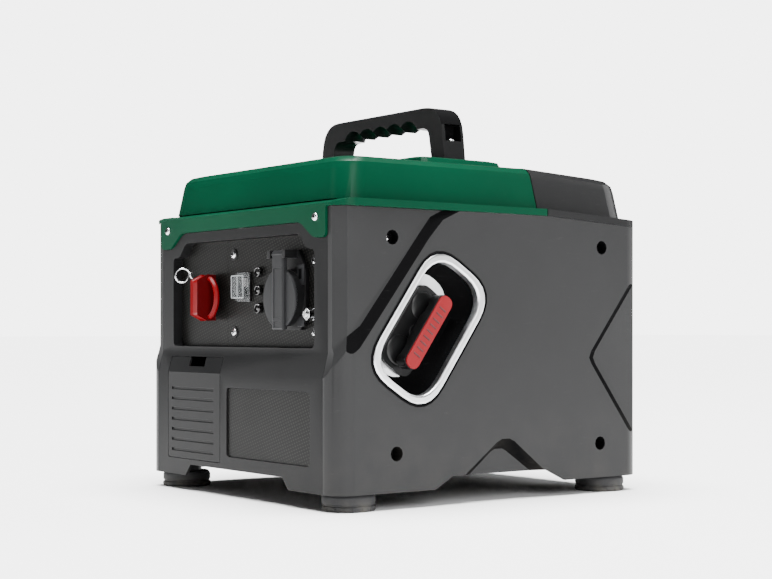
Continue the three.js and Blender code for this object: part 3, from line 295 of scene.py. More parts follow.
@dataclass(frozen=True)
class PanelFilm(Finish):
    """A printed film with a fine diagonal weave of two tones."""

    label: str
    pitch: float = 4.2

    def paint(self, book: FinishBook) -> None:
        """Lays two crossing sets of stripes, one tone over the other."""
        x, _, z = book.parts()
        turn = 2 * math.pi / (self.pitch * MM)
        along = ((x + z * 0.55) * turn).sine().within(-0.55, 0.55)
        across = ((z * 1.2 - x * 0.35) * turn * 1.15).sine().within(-0.2, 0.7)
        weave = along * across
        cloud = book.noise(18.0, 3.0)
        body = book.mixed(weave, rgb(0.0008, 0.0008, 0.0008), rgb(0.02, 0.02, 0.018))
        colour = book.mixed(cloud.within(0.45, 0.9) * 0.25, body, rgb(0.004, 0.004, 0.0037))
        gloss = cloud * 0.12 + weave * 0.12 + 0.34
        book.fixed(Specular_IOR_Level=0.1)
        book.linked(colour, gloss, book.bump(weave, 0.25, 0.0001))


@dataclass(frozen=True)
class Metal(Finish):
    """Bare or plated metal with fine directional scratches and smears."""

    label: str
    tone: Colour
    rough: float
    scratch: float = 0.1
    drag: Point = (1.0, 1.0, 14.0)

    def paint(self, book: FinishBook) -> None:
        """Lays scratches along one direction under soft smears."""
        smear = book.noise(45.0, 4.0)
        scratch = book.noise(700.0, 3.0, book.stretched(self.drag, (0.5, 0.1, 0.3)))
        dull = tuple(c * 0.78 for c in self.tone[:3]) + (1.0,)
        colour = book.mixed(smear.within(0.35, 0.75), dull, self.tone)
        gloss = smear * 0.1 + scratch * self.scratch + (self.rough - 0.05)
        book.fixed(Metallic=1.0)
        book.linked(colour, gloss, book.bump(scratch, 0.1, 0.00005))


@dataclass(frozen=True)
class Rubber(Finish):
    """Matt rubber, greyed by dust where it meets the ground."""

    label: str

    def paint(self, book: FinishBook) -> None:
        """Mixes black rubber with dust by height."""
        grain = book.noise(650.0, 3.0)
        height = book.parts()[2]
        low = 1.0 - height.within(0.0, 0.012)
        dust = low * book.noise(90.0, 5.0).within(0.35, 0.7)
        body = book.mixed(grain, rgb(0.009, 0.009, 0.01), rgb(0.024, 0.024, 0.025))
        colour = book.mixed(dust * 0.45, body, rgb(0.13, 0.12, 0.1))
        gloss = dust * 0.15 + grain * 0.1 + 0.6
        book.fixed(Specular_IOR_Level=0.35)
        book.linked(colour, gloss, book.bump(grain, 0.4, 0.0002))


@dataclass(frozen=True)
class ClearCover(Finish):
    """Thin clear plastic with a frosted breath and fine scratches."""

    label: str
    cover: float = 0.07

    def paint(self, book: FinishBook) -> None:
        """Clear plastic whose gloss and opacity vary a little."""
        haze = book.noise(40.0, 2.0)
        colour = book.mixed(haze, rgb(0.3, 0.32, 0.33), rgb(0.42, 0.44, 0.45))
        alpha = haze.within(0.3, 0.8) * 0.04 + self.cover
        book.tree.links.new(alpha.socket, book.shader.inputs["Alpha"])
        book.fixed(Specular_IOR_Level=0.5, Coat_Weight=0.2, Coat_Roughness=0.05)
        book.linked(colour, haze * 0.1 + 0.12, book.bump(haze, 0.02, 0.00002))


@dataclass(frozen=True)
class Braid(Finish):
    """A braided cord's crossing strands."""

    label: str
    pitch: float = 3.0

    def paint(self, book: FinishBook) -> None:
        """Crosses two sets of helical bands."""
        x, y, z = book.parts()
        turn = 2 * math.pi / (self.pitch * MM)
        left = ((x + y * 1.4 + z) * turn).sine()
        right = ((x - y * 1.4 - z) * turn).sine()
        strands = (left * right).within(-0.6, 0.8)
        colour = book.mixed(strands, rgb(0.012, 0.012, 0.013), rgb(0.07, 0.07, 0.072))
        book.linked(colour, strands * 0.1 + 0.75, book.bump(strands, 0.7, 0.0003))


CHARCOAL = Moulded("charcoal", rgb(0.0125, 0.0126, 0.013), dust=0.15, gleam=0.22)
# Darker, duller copy of the charcoal for the front cover and service door: painted shade of the front, which
# faces away from the lights.
CHARCOAL_SHADED_FRONT = Moulded("front", rgb(0.0075, 0.0076, 0.0079), dust=0.1, gleam=0.1)
# Near-black matte charcoal: painted shade, laid where shade falls on bands, wells, hollows, gaps, slots and
# recesses.
CHARCOAL_PAINTED_SHADE = Moulded("recess", rgb(0.0022, 0.0022, 0.0024), rough=0.7, gleam=0.02)
BLACK = Moulded("black", rgb(0.0035, 0.0035, 0.0038), rough=0.4, dust=0.1, gleam=0.2)
REAR_BLACK = Moulded("rear", rgb(0.009, 0.0091, 0.0094), rough=0.32, dust=0.0, gleam=0.18)
HANDLE_BLACK = Moulded("handle", rgb(0.0045, 0.0046, 0.0048), rough=0.3, dust=0.0, gleam=0.3)
RED = Moulded(
    "red", rgb(0.13, 0.0003, 0.002),
    rough=0.36, grain=1500.0, relief=0.06, shade=0.1, dust=0.0, coat=0.02, gleam=0.12,
)
RED_INSERT = Moulded(
    "insert", rgb(0.16, 0.003, 0.006),
    grain=1400.0, relief=0.15, shade=0.08, dust=0.0, gleam=0.2,
)
# Darker red for the knob grip's right-hand faces: painted shade.
RED_PAINTED_SHADE = Moulded(
    "shaded_side", rgb(0.05, 0.0003, 0.0012),
    grain=1500.0, relief=0.06, shade=0.1, dust=0.0, gleam=0.1,
)
RED_DEEP = Moulded(
    "rib", rgb(0.045, 0.0008, 0.0016),
    rough=0.45, grain=1400.0, relief=0.15, shade=0.08, dust=0.0,
)
GREY = Moulded("grey", rgb(0.0145, 0.0148, 0.0158), dust=0.0, gleam=0.15)
GREEN = SatinLid("green", rgb(0.0, 0.032, 0.0145))
WEAVE = PanelFilm("weave")
CHROME = Metal("chrome", rgb(0.86, 0.87, 0.88), 0.15, 0.06)
SATIN_CHROME = Metal("satin", rgb(0.82, 0.83, 0.84), 0.26, 0.1)
STEEL = Metal("steel", rgb(0.56, 0.57, 0.58), 0.36, 0.14)
CAST = Metal("cast", rgb(0.42, 0.43, 0.44), 0.55, 0.1, (1.0, 1.0, 1.0))
COPPER = Metal("copper", rgb(0.55, 0.24, 0.11), 0.38, 0.1)
RUBBER = Rubber("foot")
CLEAR = ClearCover("rocker")
# Paler, half-opaque clear finish for ribs on the rocker cover: painted highlights along its edges.
CLEAR_PAINTED_HIGHLIGHT = ClearCover("painted_highlight", 0.5)
CORD = Braid("rope")
LENS = Moulded("lens", rgb(0.002, 0.002, 0.002), rough=0.12, grain=1200.0, relief=0.02, dust=0.0, coat=0.6)


# ---------------------------------------------------------------- modelling bench
class Bench:
    """A bmesh in millimetres from the machine's middle, shaped by operators."""

    def __init__(self) -> None:
        """Starts an empty bmesh."""
        self.bm = bmesh.new()

    def block(self, low: Point, high: Point, round_by: float, steps: int = 2) -> None:
        """Adds a box with rounded edges.

        Args:
            low: lowest corner.
            high: highest corner.
            round_by: radius of every edge.
            steps: segments of the rounding.
        """
        size = Vector(high) - Vector(low)
        middle = (Vector(high) + Vector(low)) / 2
        matrix = Matrix.Translation(middle) @ Matrix.Diagonal((*size, 1.0))
        verts = bmesh.ops.create_cube(self.bm, size=1.0, matrix=matrix)["verts"]
        edges = list({edge for vert in verts for edge in vert.link_edges})
        self.bevel(edges, round_by, steps)

    def bevel(self, edges: Iterable[bmesh.types.BMEdge], offset: float, steps: int = 2) -> None:
        """Rounds some edges."""
        bmesh.ops.bevel(
            self.bm, geom=list(edges), offset=offset, segments=steps, profile=0.5,
            affect="EDGES", material=-1, clamp_overlap=True,
        )

    def lathe(self, profile: Sequence[tuple[float, float]], place: Point, axis: Axis,
              steps: int = 32) -> None:
        """Spins a profile of (radius, height) pairs about an axis through a place.

        Args:
            profile: the outline from one end of the axis to the other, or a closed ring's.
            place: the point of height 0 on the axis.
            axis: the axis it stands on.
            steps: segments round the axis.
        """
        turned = Matrix.Translation(place) @ axis.value
        verts = [self.bm.verts.new(turned @ Vector((radius, 0.0, height))) for radius, height in profile]
        edges = [self.bm.edges.new(pair) for pair in zip(verts, verts[1:])]
        about = (turned.to_3x3() @ Vector((0, 0, 1))).normalized()
        bmesh.ops.spin(
            self.bm, geom=verts + edges, cent=place, axis=about, angle=2 * math.pi,
            steps=steps, use_merge=True,
        )
        bmesh.ops.remove_doubles(self.bm, verts=self.bm.verts, dist=1e-4)

    def plate(self, outline: Sequence[Point], along: Point) -> None:
        """Extrudes a flat outline along a vector.

        Args:
            outline: the corners, in order.
            along: how far and which way it is extruded.
        """
        face = self.bm.faces.new([self.bm.verts.new(corner) for corner in outline])
        made = bmesh.ops.extrude_face_region(self.bm, geom=[face], use_keep_orig=True)["geom"]
        bmesh.ops.translate(self.bm, vec=along, verts=[g for g in made if isinstance(g, bmesh.types.BMVert)])
        faces = [face] + [g for g in made if isinstance(g, bmesh.types.BMFace)]
        bmesh.ops.recalc_face_normals(self.bm, faces=faces)

    def sharp(self, degrees: float) -> list[bmesh.types.BMEdge]:
        """The edges that turn by more than an angle."""
        limit = math.radians(degrees)
        return [
            edge for edge in self.bm.edges
            if len(edge.link_faces) == 2 and edge.calc_face_angle(0.0) > limit
        ]

    def from_node(self, node: str) -> "Bench":
        """Takes a merged copy of a CAD node's mesh, cleared of its flat triangles."""
        self.bm.from_mesh(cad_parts[node].data)
        self.bm.transform(Matrix.Scale(1 / MM, 4) @ Matrix.Translation(-DATUM))
        bmesh.ops.remove_doubles(self.bm, verts=self.bm.verts, dist=0.002)
        bmesh.ops.dissolve_limit(
            self.bm, angle_limit=math.radians(0.6), verts=self.bm.verts, edges=self.bm.edges,
        )
        return self

    def solid_block(self, matrix: Matrix, size: Point) -> None:
        """Adds a box of a size, placed by a matrix."""
        bmesh.ops.create_cube(self.bm, size=1.0, matrix=matrix @ Matrix.Diagonal((*size, 1.0)))

    def tube(self, path: Sequence[Sequence[float]], radius: float) -> None:
        """Adds a round wire along a path, by way of a curve."""
        curve = bpy.data.curves.new("path", "CURVE")
        curve.dimensions = "3D"
        curve.bevel_depth = radius
        curve.bevel_resolution = 3
        curve.use_fill_caps = True
        spline = curve.splines.new("POLY")
        spline.points.add(len(path) - 1)
        for point, place in zip(spline.points, path):
            point.co = (*place, 1.0)
        holder = bpy.data.objects.new("path", curve)
        mesh = bpy.data.meshes.new_from_object(holder)
        self.bm.from_mesh(mesh)
        bpy.data.objects.remove(holder)
        bpy.data.curves.remove(curve)
        bpy.data.meshes.remove(mesh)

    def recess(self, level: float, low: tuple[float, float], high: tuple[float, float],
               depth: float, draft: float = 0.6) -> None:
        """Sinks a rectangle into the face that looks forward at y = level.

        Args:
            level: where the face lies.
            low: the rectangle's lowest x and z.
            high: its highest x and z.
            depth: how far it sinks.
            draft: how far its walls lean in.
        """
        def front_faces() -> list[bmesh.types.BMFace]:
            self.bm.normal_update()
            return [
                f for f in self.bm.faces
                if f.normal.y < -0.9 and abs(f.calc_center_median().y - level) < 0.15
            ]

        for axis, distance in ((0, low[0]), (0, high[0]), (2, low[1]), (2, high[1])):
            faces = front_faces()
            normal = Vector([float(axis == k) for k in range(3)])
            parts = {e for f in faces for e in f.edges} | {v for f in faces for v in f.verts} | set(faces)
            bmesh.ops.bisect_plane(
                self.bm, geom=list(parts), dist=1e-4, plane_co=normal * distance, plane_no=normal,
            )
        inner = [
            f for f in front_faces()
            if low[0] < f.calc_center_median().x < high[0] and low[1] < f.calc_center_median().z < high[1]
        ]
        bmesh.ops.inset_region(self.bm, faces=inner, thickness=draft, depth=0.0)
        bmesh.ops.translate(self.bm, vec=(0.0, depth, 0.0), verts=list({v for f in inner for v in f.verts}))

    def recalculated(self) -> "Bench":
        """Turns every face outwards."""
        bmesh.ops.recalc_face_normals(self.bm, faces=self.bm.faces)
        return self


@dataclass(frozen=True)
class Placing:
    """What a finished piece rides on, is painted with and stands for."""

    body: str
    finish: Finish
    slot: Slot
    stands_for: tuple[str, ...] = ()
    other: Finish | None = None
    where: Callable[[Vector, Vector], bool] = lambda middle, normal: False
    stretch: tuple[Point, Point] | None = None


def finished(name: str, bench: Bench, placing: Placing, smooth: float = 35.0,
             bevel: float = 0.0, steps: int = 2, limit: float = 28.0) -> bpy.types.Object:
    """Makes a scene object of a bench's mesh and hands it to the frame.

    Args:
        name: the piece's name.
        bench: the mesh in millimetres.
        placing: its body, finish, slot and the nodes it stands for.
        smooth: edges that turn more than this many degrees stay sharp.
        bevel: width of a live bevel in millimetres, none at 0.
        steps: the bevel's segments.
        limit: the bevel's angle limit in degrees.

    Returns:
        The object, at the origin.
    """
    if placing.other:
        bench.bm.normal_update()
        for face in bench.bm.faces:
            face.material_index = int(placing.where(face.calc_center_median(), face.normal))
    bench.bm.transform(Matrix.Translation(DATUM) @ Matrix.Scale(MM, 4))
    mesh = bpy.data.meshes.new(name)
    bench.bm.to_mesh(mesh)
    bench.bm.free()
    mesh.shade_smooth()
    mesh.set_sharp_from_angle(angle=math.radians(smooth))
    mesh.materials.append(placing.finish.material())
    if placing.other:
        mesh.materials.append(placing.other.material())
    piece = bpy.data.objects.new(name, mesh)
    bpy.context.scene.collection.objects.link(piece)
    if bevel:
        rounding = piece.modifiers.new("rounding", "BEVEL")
        rounding.width = bevel * MM
        rounding.segments = steps
        rounding.limit_method = "ANGLE"
        rounding.angle_limit = math.radians(limit)
        rounding.use_clamp_overlap = True
        rounding.harden_normals = True
    level = piece.modifiers.new("flat_faces", "WEIGHTED_NORMAL")
    level.keep_sharp = True
    if placing.stands_for:
        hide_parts(*placing.stands_for)
    if placing.stretch:
        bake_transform(piece)
    else:
        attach(piece, placing.body)
    LOG.info("%s on %s", name, placing.body)
    return piece


def dress_node(node: str, finish: Finish) -> None:
    """Gives a shown CAD node its finish."""
    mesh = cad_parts[node].data
    mesh.materials.clear()
    mesh.materials.append(finish.material())


class Assembly(ABC):
    """A sub-assembly that builds its pieces and then dresses the CAD nodes it keeps."""

    @abstractmethod
    def build(self) -> None:
        """Makes the sub-assembly's pieces."""

    def dress(self) -> None:
        """Paints the CAD nodes that stay in view."""


# ---------------------------------------------------------------- shared places
PLATE_Y = -166.75
APRON_Y = -178.75
SIDE_X = 167.0
WELL_X = 153.5
SIDE_SCREWS = ((-118.5, 239.0), (-117.0, 49.0), (131.0, 237.0), (129.0, 48.0))
PULL = Vector((-79.5, 155.7))
SLANT = Vector((-39.7, -55.4)).normalized()
ACROSS = Vector((-SLANT.y, SLANT.x))
CORNERS = ((1, 1), (1, -1), (-1, -1), (-1, 1))


def rounded(points: Sequence[Sequence[float]], cut: float, steps: int = 6) -> list[Vector]:
    """A closed outline whose corners are curves that take up to `cut` of each side.

    Args:
        points: the outline's corners.
        cut: how much of a side a corner takes.
        steps: segments in a corner.

    Returns:
        The rounded outline's points.
    """
    result: list[Vector] = []
    for i, corner in enumerate(points):
        here = Vector(corner)
        ends = [Vector(points[i - 1]) - here, Vector(points[(i + 1) % len(points)]) - here]
        start, finish = (here + end.normalized() * min(cut, end.length / 2 - 0.01) for end in ends)
        for step in range(steps + 1):
            share = step / steps
            result.append(start.lerp(here, share).lerp(here.lerp(finish, share), share))
    return result


def slant_bar(centre: Vector, width: float, length: float, x: float, cut: float) -> list[Point]:
    """The outline of a rounded bar along the starter's slant, at one distance from the middle."""
    corners = [
        centre + ACROSS * (a * width / 2) + SLANT * (b * length / 2)
        for a, b in ((-1, -1), (1, -1), (1, 1), (-1, 1))
    ]
    return [(x, point.x, point.y) for point in rounded(corners, cut)]


# ---------------------------------------------------------------- casing
def in_well(middle: Vector) -> bool:
    """Whether a point lies in one of the side screws' wells."""
    return any((Vector((middle.y, middle.z)) - Vector(place)).length < 7.2 for place in SIDE_SCREWS)


def painted_shade_faces(middle: Vector, normal: Vector) -> bool:
    """The side covers' faces painted in shade: their sloped bands and the screws' wells."""
    leaning = 0.3 < abs(normal.x) < 0.985 and abs(normal.z) > 0.08
    sloped = leaning and abs(middle.x) > 158.0 and middle.y > -169.5
    return sloped or (in_well(middle) and abs(middle.x) < 161.5)


@dataclass
class Casing(Assembly):
    """The moulded covers, each a rounded copy of its solid."""

    edge: float = 0.7
    sides: tuple[str, ...] = ("side_cover_right", "side_cover_left")
    covers: dict[str, tuple[Finish, Slot]] = field(default_factory=lambda: {
        # The front cover takes the darker charcoal copy, painted shade.
        "front_cover": (CHARCOAL_SHADED_FRONT, Slot.CHARCOAL),
        "rear_cover": (CHARCOAL, Slot.CHARCOAL),
        "top_cover": (GREEN, Slot.GREEN),
        "rear_top_cover": (REAR_BLACK, Slot.BLACK),
    })

    def build(self) -> None:
        """Copies each cover and rounds its edges."""
        for node, (finish, slot) in self.covers.items():
            placing = Placing("machine", finish, slot, (node,))
            finished(node + "_skin", Bench().from_node(node), placing, smooth=25.0, bevel=self.edge)
        for node in self.sides:
            # The side covers' sloped bands and screw wells take the near-black painted shade.
            placing = Placing("machine", CHARCOAL, Slot.CHARCOAL, (node,), CHARCOAL_PAINTED_SHADE, painted_shade_faces)
            finished(node + "_skin", Bench().from_node(node), placing, smooth=25.0, bevel=self.edge)
        # The service door takes the darker charcoal copy, painted shade.
        placing = Placing("service_door_body", CHARCOAL_SHADED_FRONT, Slot.CHARCOAL, ("service_door",))
        finished("service_door_skin", Bench().from_node("service_door"), placing, bevel=0.4)

    def dress(self) -> None:
        """Paints what is inside the casing and the flat plates."""
        inside = {
            "base_tray": BLACK, "fuel_tank": BLACK, "air_filter": BLACK, "recoil_pulley": BLACK,
            "engine_block": CAST, "flywheel_fan": CAST, "carburetor": CAST, "fuel_valve": CAST,
            "crankshaft": STEEL, "spark_plug": STEEL, "muffler": STEEL, "inverter_module": STEEL,
            "stator": COPPER, "fuel_cap": BLACK,
            "nameplate": WEAVE, "control_plate_left": WEAVE, "control_plate_right": WEAVE,
        }
        for node, finish in inside.items():
            dress_node(node, finish)


@dataclass
class Handle(Assembly):
    """The carrying handle with its finger scoops and hollow legs."""

    edge: float = 1.5

    def build(self) -> None:
        """Rounds a copy of the handle's solid."""
        # Faces inside the hollow legs take the near-black painted shade.
        def hollow(middle: Vector, normal: Vector) -> bool:
            return 88.0 < abs(middle.x) < 101.0 and abs(middle.y) < 9.7 and abs(normal.z) < 0.9

        placing = Placing("machine", HANDLE_BLACK, Slot.BLACK, ("carry_handle",), CHARCOAL_PAINTED_SHADE, hollow)
        skin = Bench().from_node("carry_handle")
        finished("carry_handle_skin", skin, placing, smooth=30.0, bevel=self.edge, steps=3)


@dataclass
class Feet(Assembly):
    """Four round rubber feet with a notched lower rim and a waist."""

    spots: dict[str, tuple[float, float]] = field(default_factory=lambda: {
        "foot_front_left": (-142.5, -151.5), "foot_front_right": (142.5, -151.5),
        "foot_rear_left": (-142.5, 151.5), "foot_rear_right": (142.5, 151.5),
    })
    profile: tuple[tuple[float, float], ...] = (
        (0.0, 0.9), (17.0, 0.9), (17.6, 0.0), (22.8, 0.0), (23.7, 1.0), (23.7, 4.2), (22.7, 5.0), (22.7, 6.0),
        (23.7, 6.9), (23.7, 11.6), (23.2, 13.0), (21.8, 15.0), (0.0, 15.0),
    )
    notches: int = 16

    def build(self) -> None:
        """Spins each foot and cuts its tread."""
        for node, (x, y) in self.spots.items():
            bench = Bench()
            bench.lathe(self.profile, (x, y, 0.0), Axis.Z, 48)
            for i in range(self.notches):
                turn = Matrix.Rotation(2 * math.pi * i / self.notches, 4, "Z")
                place = Matrix.Translation((x, y, 2.4)) @ turn @ Matrix.Translation((23.6, 0.0, 0.0))
                bench.solid_block(place, (0.8, 3.6, 2.6))
            finished(node + "_tread", bench, Placing("machine", RUBBER, Slot.RUBBER, (node,)), bevel=0.25)


# ---------------------------------------------------------------- control panel
@dataclass
class FuelKnob(Assembly):
    """The red fuel knob: a dished disc with a grip across it."""

    x: float = -61.0
    z: float = 188.6
    ridge: float = 13.0
    tip: float = 21.8
    dish: tuple[tuple[float, float], ...] = (
        (0.0, -5.0), (9.0, -5.0), (13.0, -6.2), (16.4, -9.2), (18.2, -11.6), (19.4, -12.2), (20.6, -11.6),
        (21.7, -9.4), (21.5, -7.6), (17.5, -5.2), (12.0, -2.6), (9.7, -0.6), (0.0, -0.6),
    )

    def build(self) -> None:
        """Makes the grip, sinks its mark and spins the dish round it."""
        side = [
            (-4.0, -20.6), (-11.5, -21.0), (-self.tip, -15.8), (-self.tip, 15.8), (-11.5, 21.0), (-4.0, 20.6),
        ]
        corners = [(self.x - self.ridge / 2, PLATE_Y + y, self.z + z) for y, z in side]
        bench = Bench()
        bench.plate(corners, (self.ridge, 0.0, 0.0))
        bench.bevel(bench.sharp(20.0), 1.5, 3)
        mark = (self.x - 3.4, self.z - 4.6), (self.x + 3.4, self.z + 4.6)
        bench.recess(PLATE_Y - self.tip, *mark, 1.4, 0.9)
        bench.lathe(self.dish, (self.x, PLATE_Y, self.z), Axis.Y, 64)
        # The grip's faces that look to the right take the darker red, painted shade.
        def shaded_side(middle: Vector, normal: Vector) -> bool:
            return normal.x > 0.8 and abs(middle.x - self.x) < self.ridge

        placing = Placing("fuel_knob_body", RED, Slot.RED, ("fuel_knob",), RED_PAINTED_SHADE, shaded_side)
        finished("fuel_knob_grip", bench, placing, smooth=32.0)


@dataclass
class RockerSwitch(Assembly):
    """The rocker switch under its clear cover."""

    x: float = -4.6
    z: float = 198.0
    half: tuple[float, float] = (10.4, 10.35)
    front: float = -175.65

    def build(self) -> None:
        """Rounds the switch's parts and lines the cover's edges and middle with pale ribs, painted
        highlights.
        """
        frame_place = Placing("machine", BLACK, Slot.BLACK, ("rocker_frame",))
        finished("rocker_frame_skin", Bench().from_node("rocker_frame"), frame_place, bevel=0.4)
        paddle = Placing("rocker_body", LENS, Slot.BLACK, ("rocker",))
        finished("rocker_skin", Bench().from_node("rocker"), paddle, bevel=0.5)
        cover = Placing("machine", CLEAR, Slot.CLEAR, ("rocker_cover",))
        finished("rocker_cover_skin", Bench().from_node("rocker_cover"), cover, bevel=0.5)
        # Pale ribs along the cover's edges and down its middle: painted highlights.
        bench = Bench()
        wide, high = self.half
        for a in (-1, 0, 1):
            reach = wide * a
            bench.block((self.x + reach - 0.6, self.front - 0.35, self.z - high),
                        (self.x + reach + 0.6, self.front + 0.3, self.z + high), 0.25)
        for b in (-1, 1):
            level = self.z + high * b
            bench.block((self.x - wide, self.front - 0.35, level - 0.6),
                        (self.x + wide, self.front + 0.3, level + 0.6), 0.25)
        finished("rocker_cover_highlight_ribs", bench, Placing("machine", CLEAR_PAINTED_HIGHLIGHT, Slot.CLEAR))


@dataclass
class Lamps(Assembly):
    """Three indicator lamps: black collars round small domed lenses."""

    x: float = 22.5
    levels: tuple[float, ...] = (211.2, 194.3, 177.5)
    profile: tuple[tuple[float, float], ...] = (
        (0.0, -4.1), (1.3, -3.9), (2.3, -3.3), (2.7, -2.6), (3.0, -2.6), (3.3, -4.3), (3.9, -4.6),
        (4.5, -4.2), (4.8, -3.3), (4.8, -0.3), (3.8, -0.3), (3.8, 8.0), (0.0, 8.0),
    )

    def build(self) -> None:
        """Spins each lamp."""
        for i, level in enumerate(self.levels, 1):
            bench = Bench()
            bench.lathe(self.profile, (self.x, PLATE_Y, level), Axis.Y, 32)
            placing = Placing("machine", LENS, Slot.BLACK, (f"lamp_{i}",))
            finished(f"lamp_{i}_lens", bench, placing, smooth=40.0)


@dataclass
class MainsSocket(Assembly):
    """The mains socket with its sprung flap and hinge."""

    x: float = 77.0
    z: float = 186.0
    hinge: tuple[float, float] = (-181.35, 225.4)
    bar: tuple[float, float] = (69.4, 87.6)
    ears: tuple[tuple[float, float], ...] = ((198.0, 216.0), (160.5, 169.5))

    def build(self) -> None:
        """Makes the flange, its ears and the flap."""
        socket = Placing("machine", BLACK, Slot.BLACK, ("socket_body",))
        finished("socket_body_skin", Bench().from_node("socket_body"), socket, bevel=0.8)
        bench = Bench()
        for low, high in self.ears:
            bench.block((92.5, -172.2, low), (103.2, -171.0, high), 0.5)
        finished("socket_ears", bench, Placing("machine", GREY, Slot.GREY))
        # A near-black block on the ear: painted shade of its screw slot.
        slot = Bench()
        slot.block((95.0, -172.4, 203.0), (99.5, -171.9, 212.0), 0.2)
        finished("socket_ear_slot", slot, Placing("machine", CHARCOAL_PAINTED_SHADE, Slot.BLACK))
        self.flap()

    def flap(self) -> None:
        """The grey flap: a disc, a bar with a sunk panel, and the hinge's barrel."""
        bench = Bench()
        low, high = self.bar
        front = -184.5
        bench.block((low, front, 157.6), (high, -179.1, 227.0), 1.3, 3)
        bench.recess(front, (low + 2.6, 168.0), (high - 2.2, 213.0), 0.7, 0.4)
        bench.recess(front, (low + 3.4, 159.6), (high - 3.2, 165.2), 0.5, 0.3)
        disc = ((0.0, -12.3), (26.2, -12.3), (27.0, -12.9), (27.0, -14.1), (26.1, -14.9), (0.0, -15.2))
        bench.lathe(disc, (self.x, PLATE_Y, self.z), Axis.Y, 72)
        wide = high - low
        barrel = ((0.0, 0.0), (2.9, 0.0), (3.3, 0.4), (3.3, wide - 0.4), (2.9, wide), (0.0, wide))
        bench.lathe(barrel, (low, *self.hinge), Axis.X, 24)
        finished("socket_flap_skin", bench, Placing("socket_flap_body", GREY, Slot.GREY, ("socket_flap",)))
        pin = Placing("machine", STEEL, Slot.STEEL, ("flap_pin",))
        finished("flap_pin_skin", Bench().from_node("flap_pin"), pin, bevel=0.3)


@dataclass
class GroundTerminal(Assembly):
    """The earth stud with its nut, a lug and the small wire loop on the panel."""

    x: float = 111.5
    z: float = 171.5
    loop: Point = (-108.0, -175.95, 211.3)
    loop_r: float = 6.9
    turn: float = 0.93

    def build(self) -> None:
        """Rounds the nut and stud, adds a lug and bends the wire."""
        stud = Placing("machine", CHROME, Slot.CHROME, ("ground_stud",))
        finished("ground_stud_skin", Bench().from_node("ground_stud"), stud, bevel=0.4)
        nut = Placing("ground_nut_body", CHROME, Slot.CHROME, ("ground_nut",))
        finished("ground_nut_skin", Bench().from_node("ground_nut"), nut, bevel=0.7)
        lug = Bench()
        lug.block((self.x + 3.5, -168.6, self.z - 9.5), (self.x + 10.0, -167.3, self.z - 3.5), 0.5)
        finished("ground_lug", lug, Placing("machine", STEEL, Slot.CHROME))
        self.wire()

    def wire(self) -> None:
        """A ring of wire whose ends cross before they enter the panel."""
        centre = Vector(self.loop)
        level = Vector((math.cos(self.turn), math.sin(self.turn), 0.0))
        up = Vector((0.0, 0.0, 1.0))
        toward = Vector((0.0, 1.0, 0.0))

        def spot(along: float, height: float, behind: float = 0.0) -> Vector:
            return centre + level * along + up * height + toward * behind

        r = self.loop_r
        path = [spot(r + 1.8, -3.6, 9.4), spot(r + 1.4, -3.4, 3.0), spot(r + 0.6, -1.6, 0.9)]
        for step in range(33):
            angle = math.radians(32 + step * 296 / 32)
            path.append(spot(r * math.cos(angle), r * math.sin(angle), 0.9 - step * 1.8 / 32))
        path += [spot(r + 0.6, 1.6, -0.9), spot(r + 1.6, 3.0, 1.2), spot(r + 2.0, 3.2, 9.4)]
        bench = Bench()
        bench.tube(path, 0.85)
        placing = Placing("machine", CHROME, Slot.CHROME, ("wire_loop",))
        finished("wire_loop_ring", bench, placing, smooth=60.0)


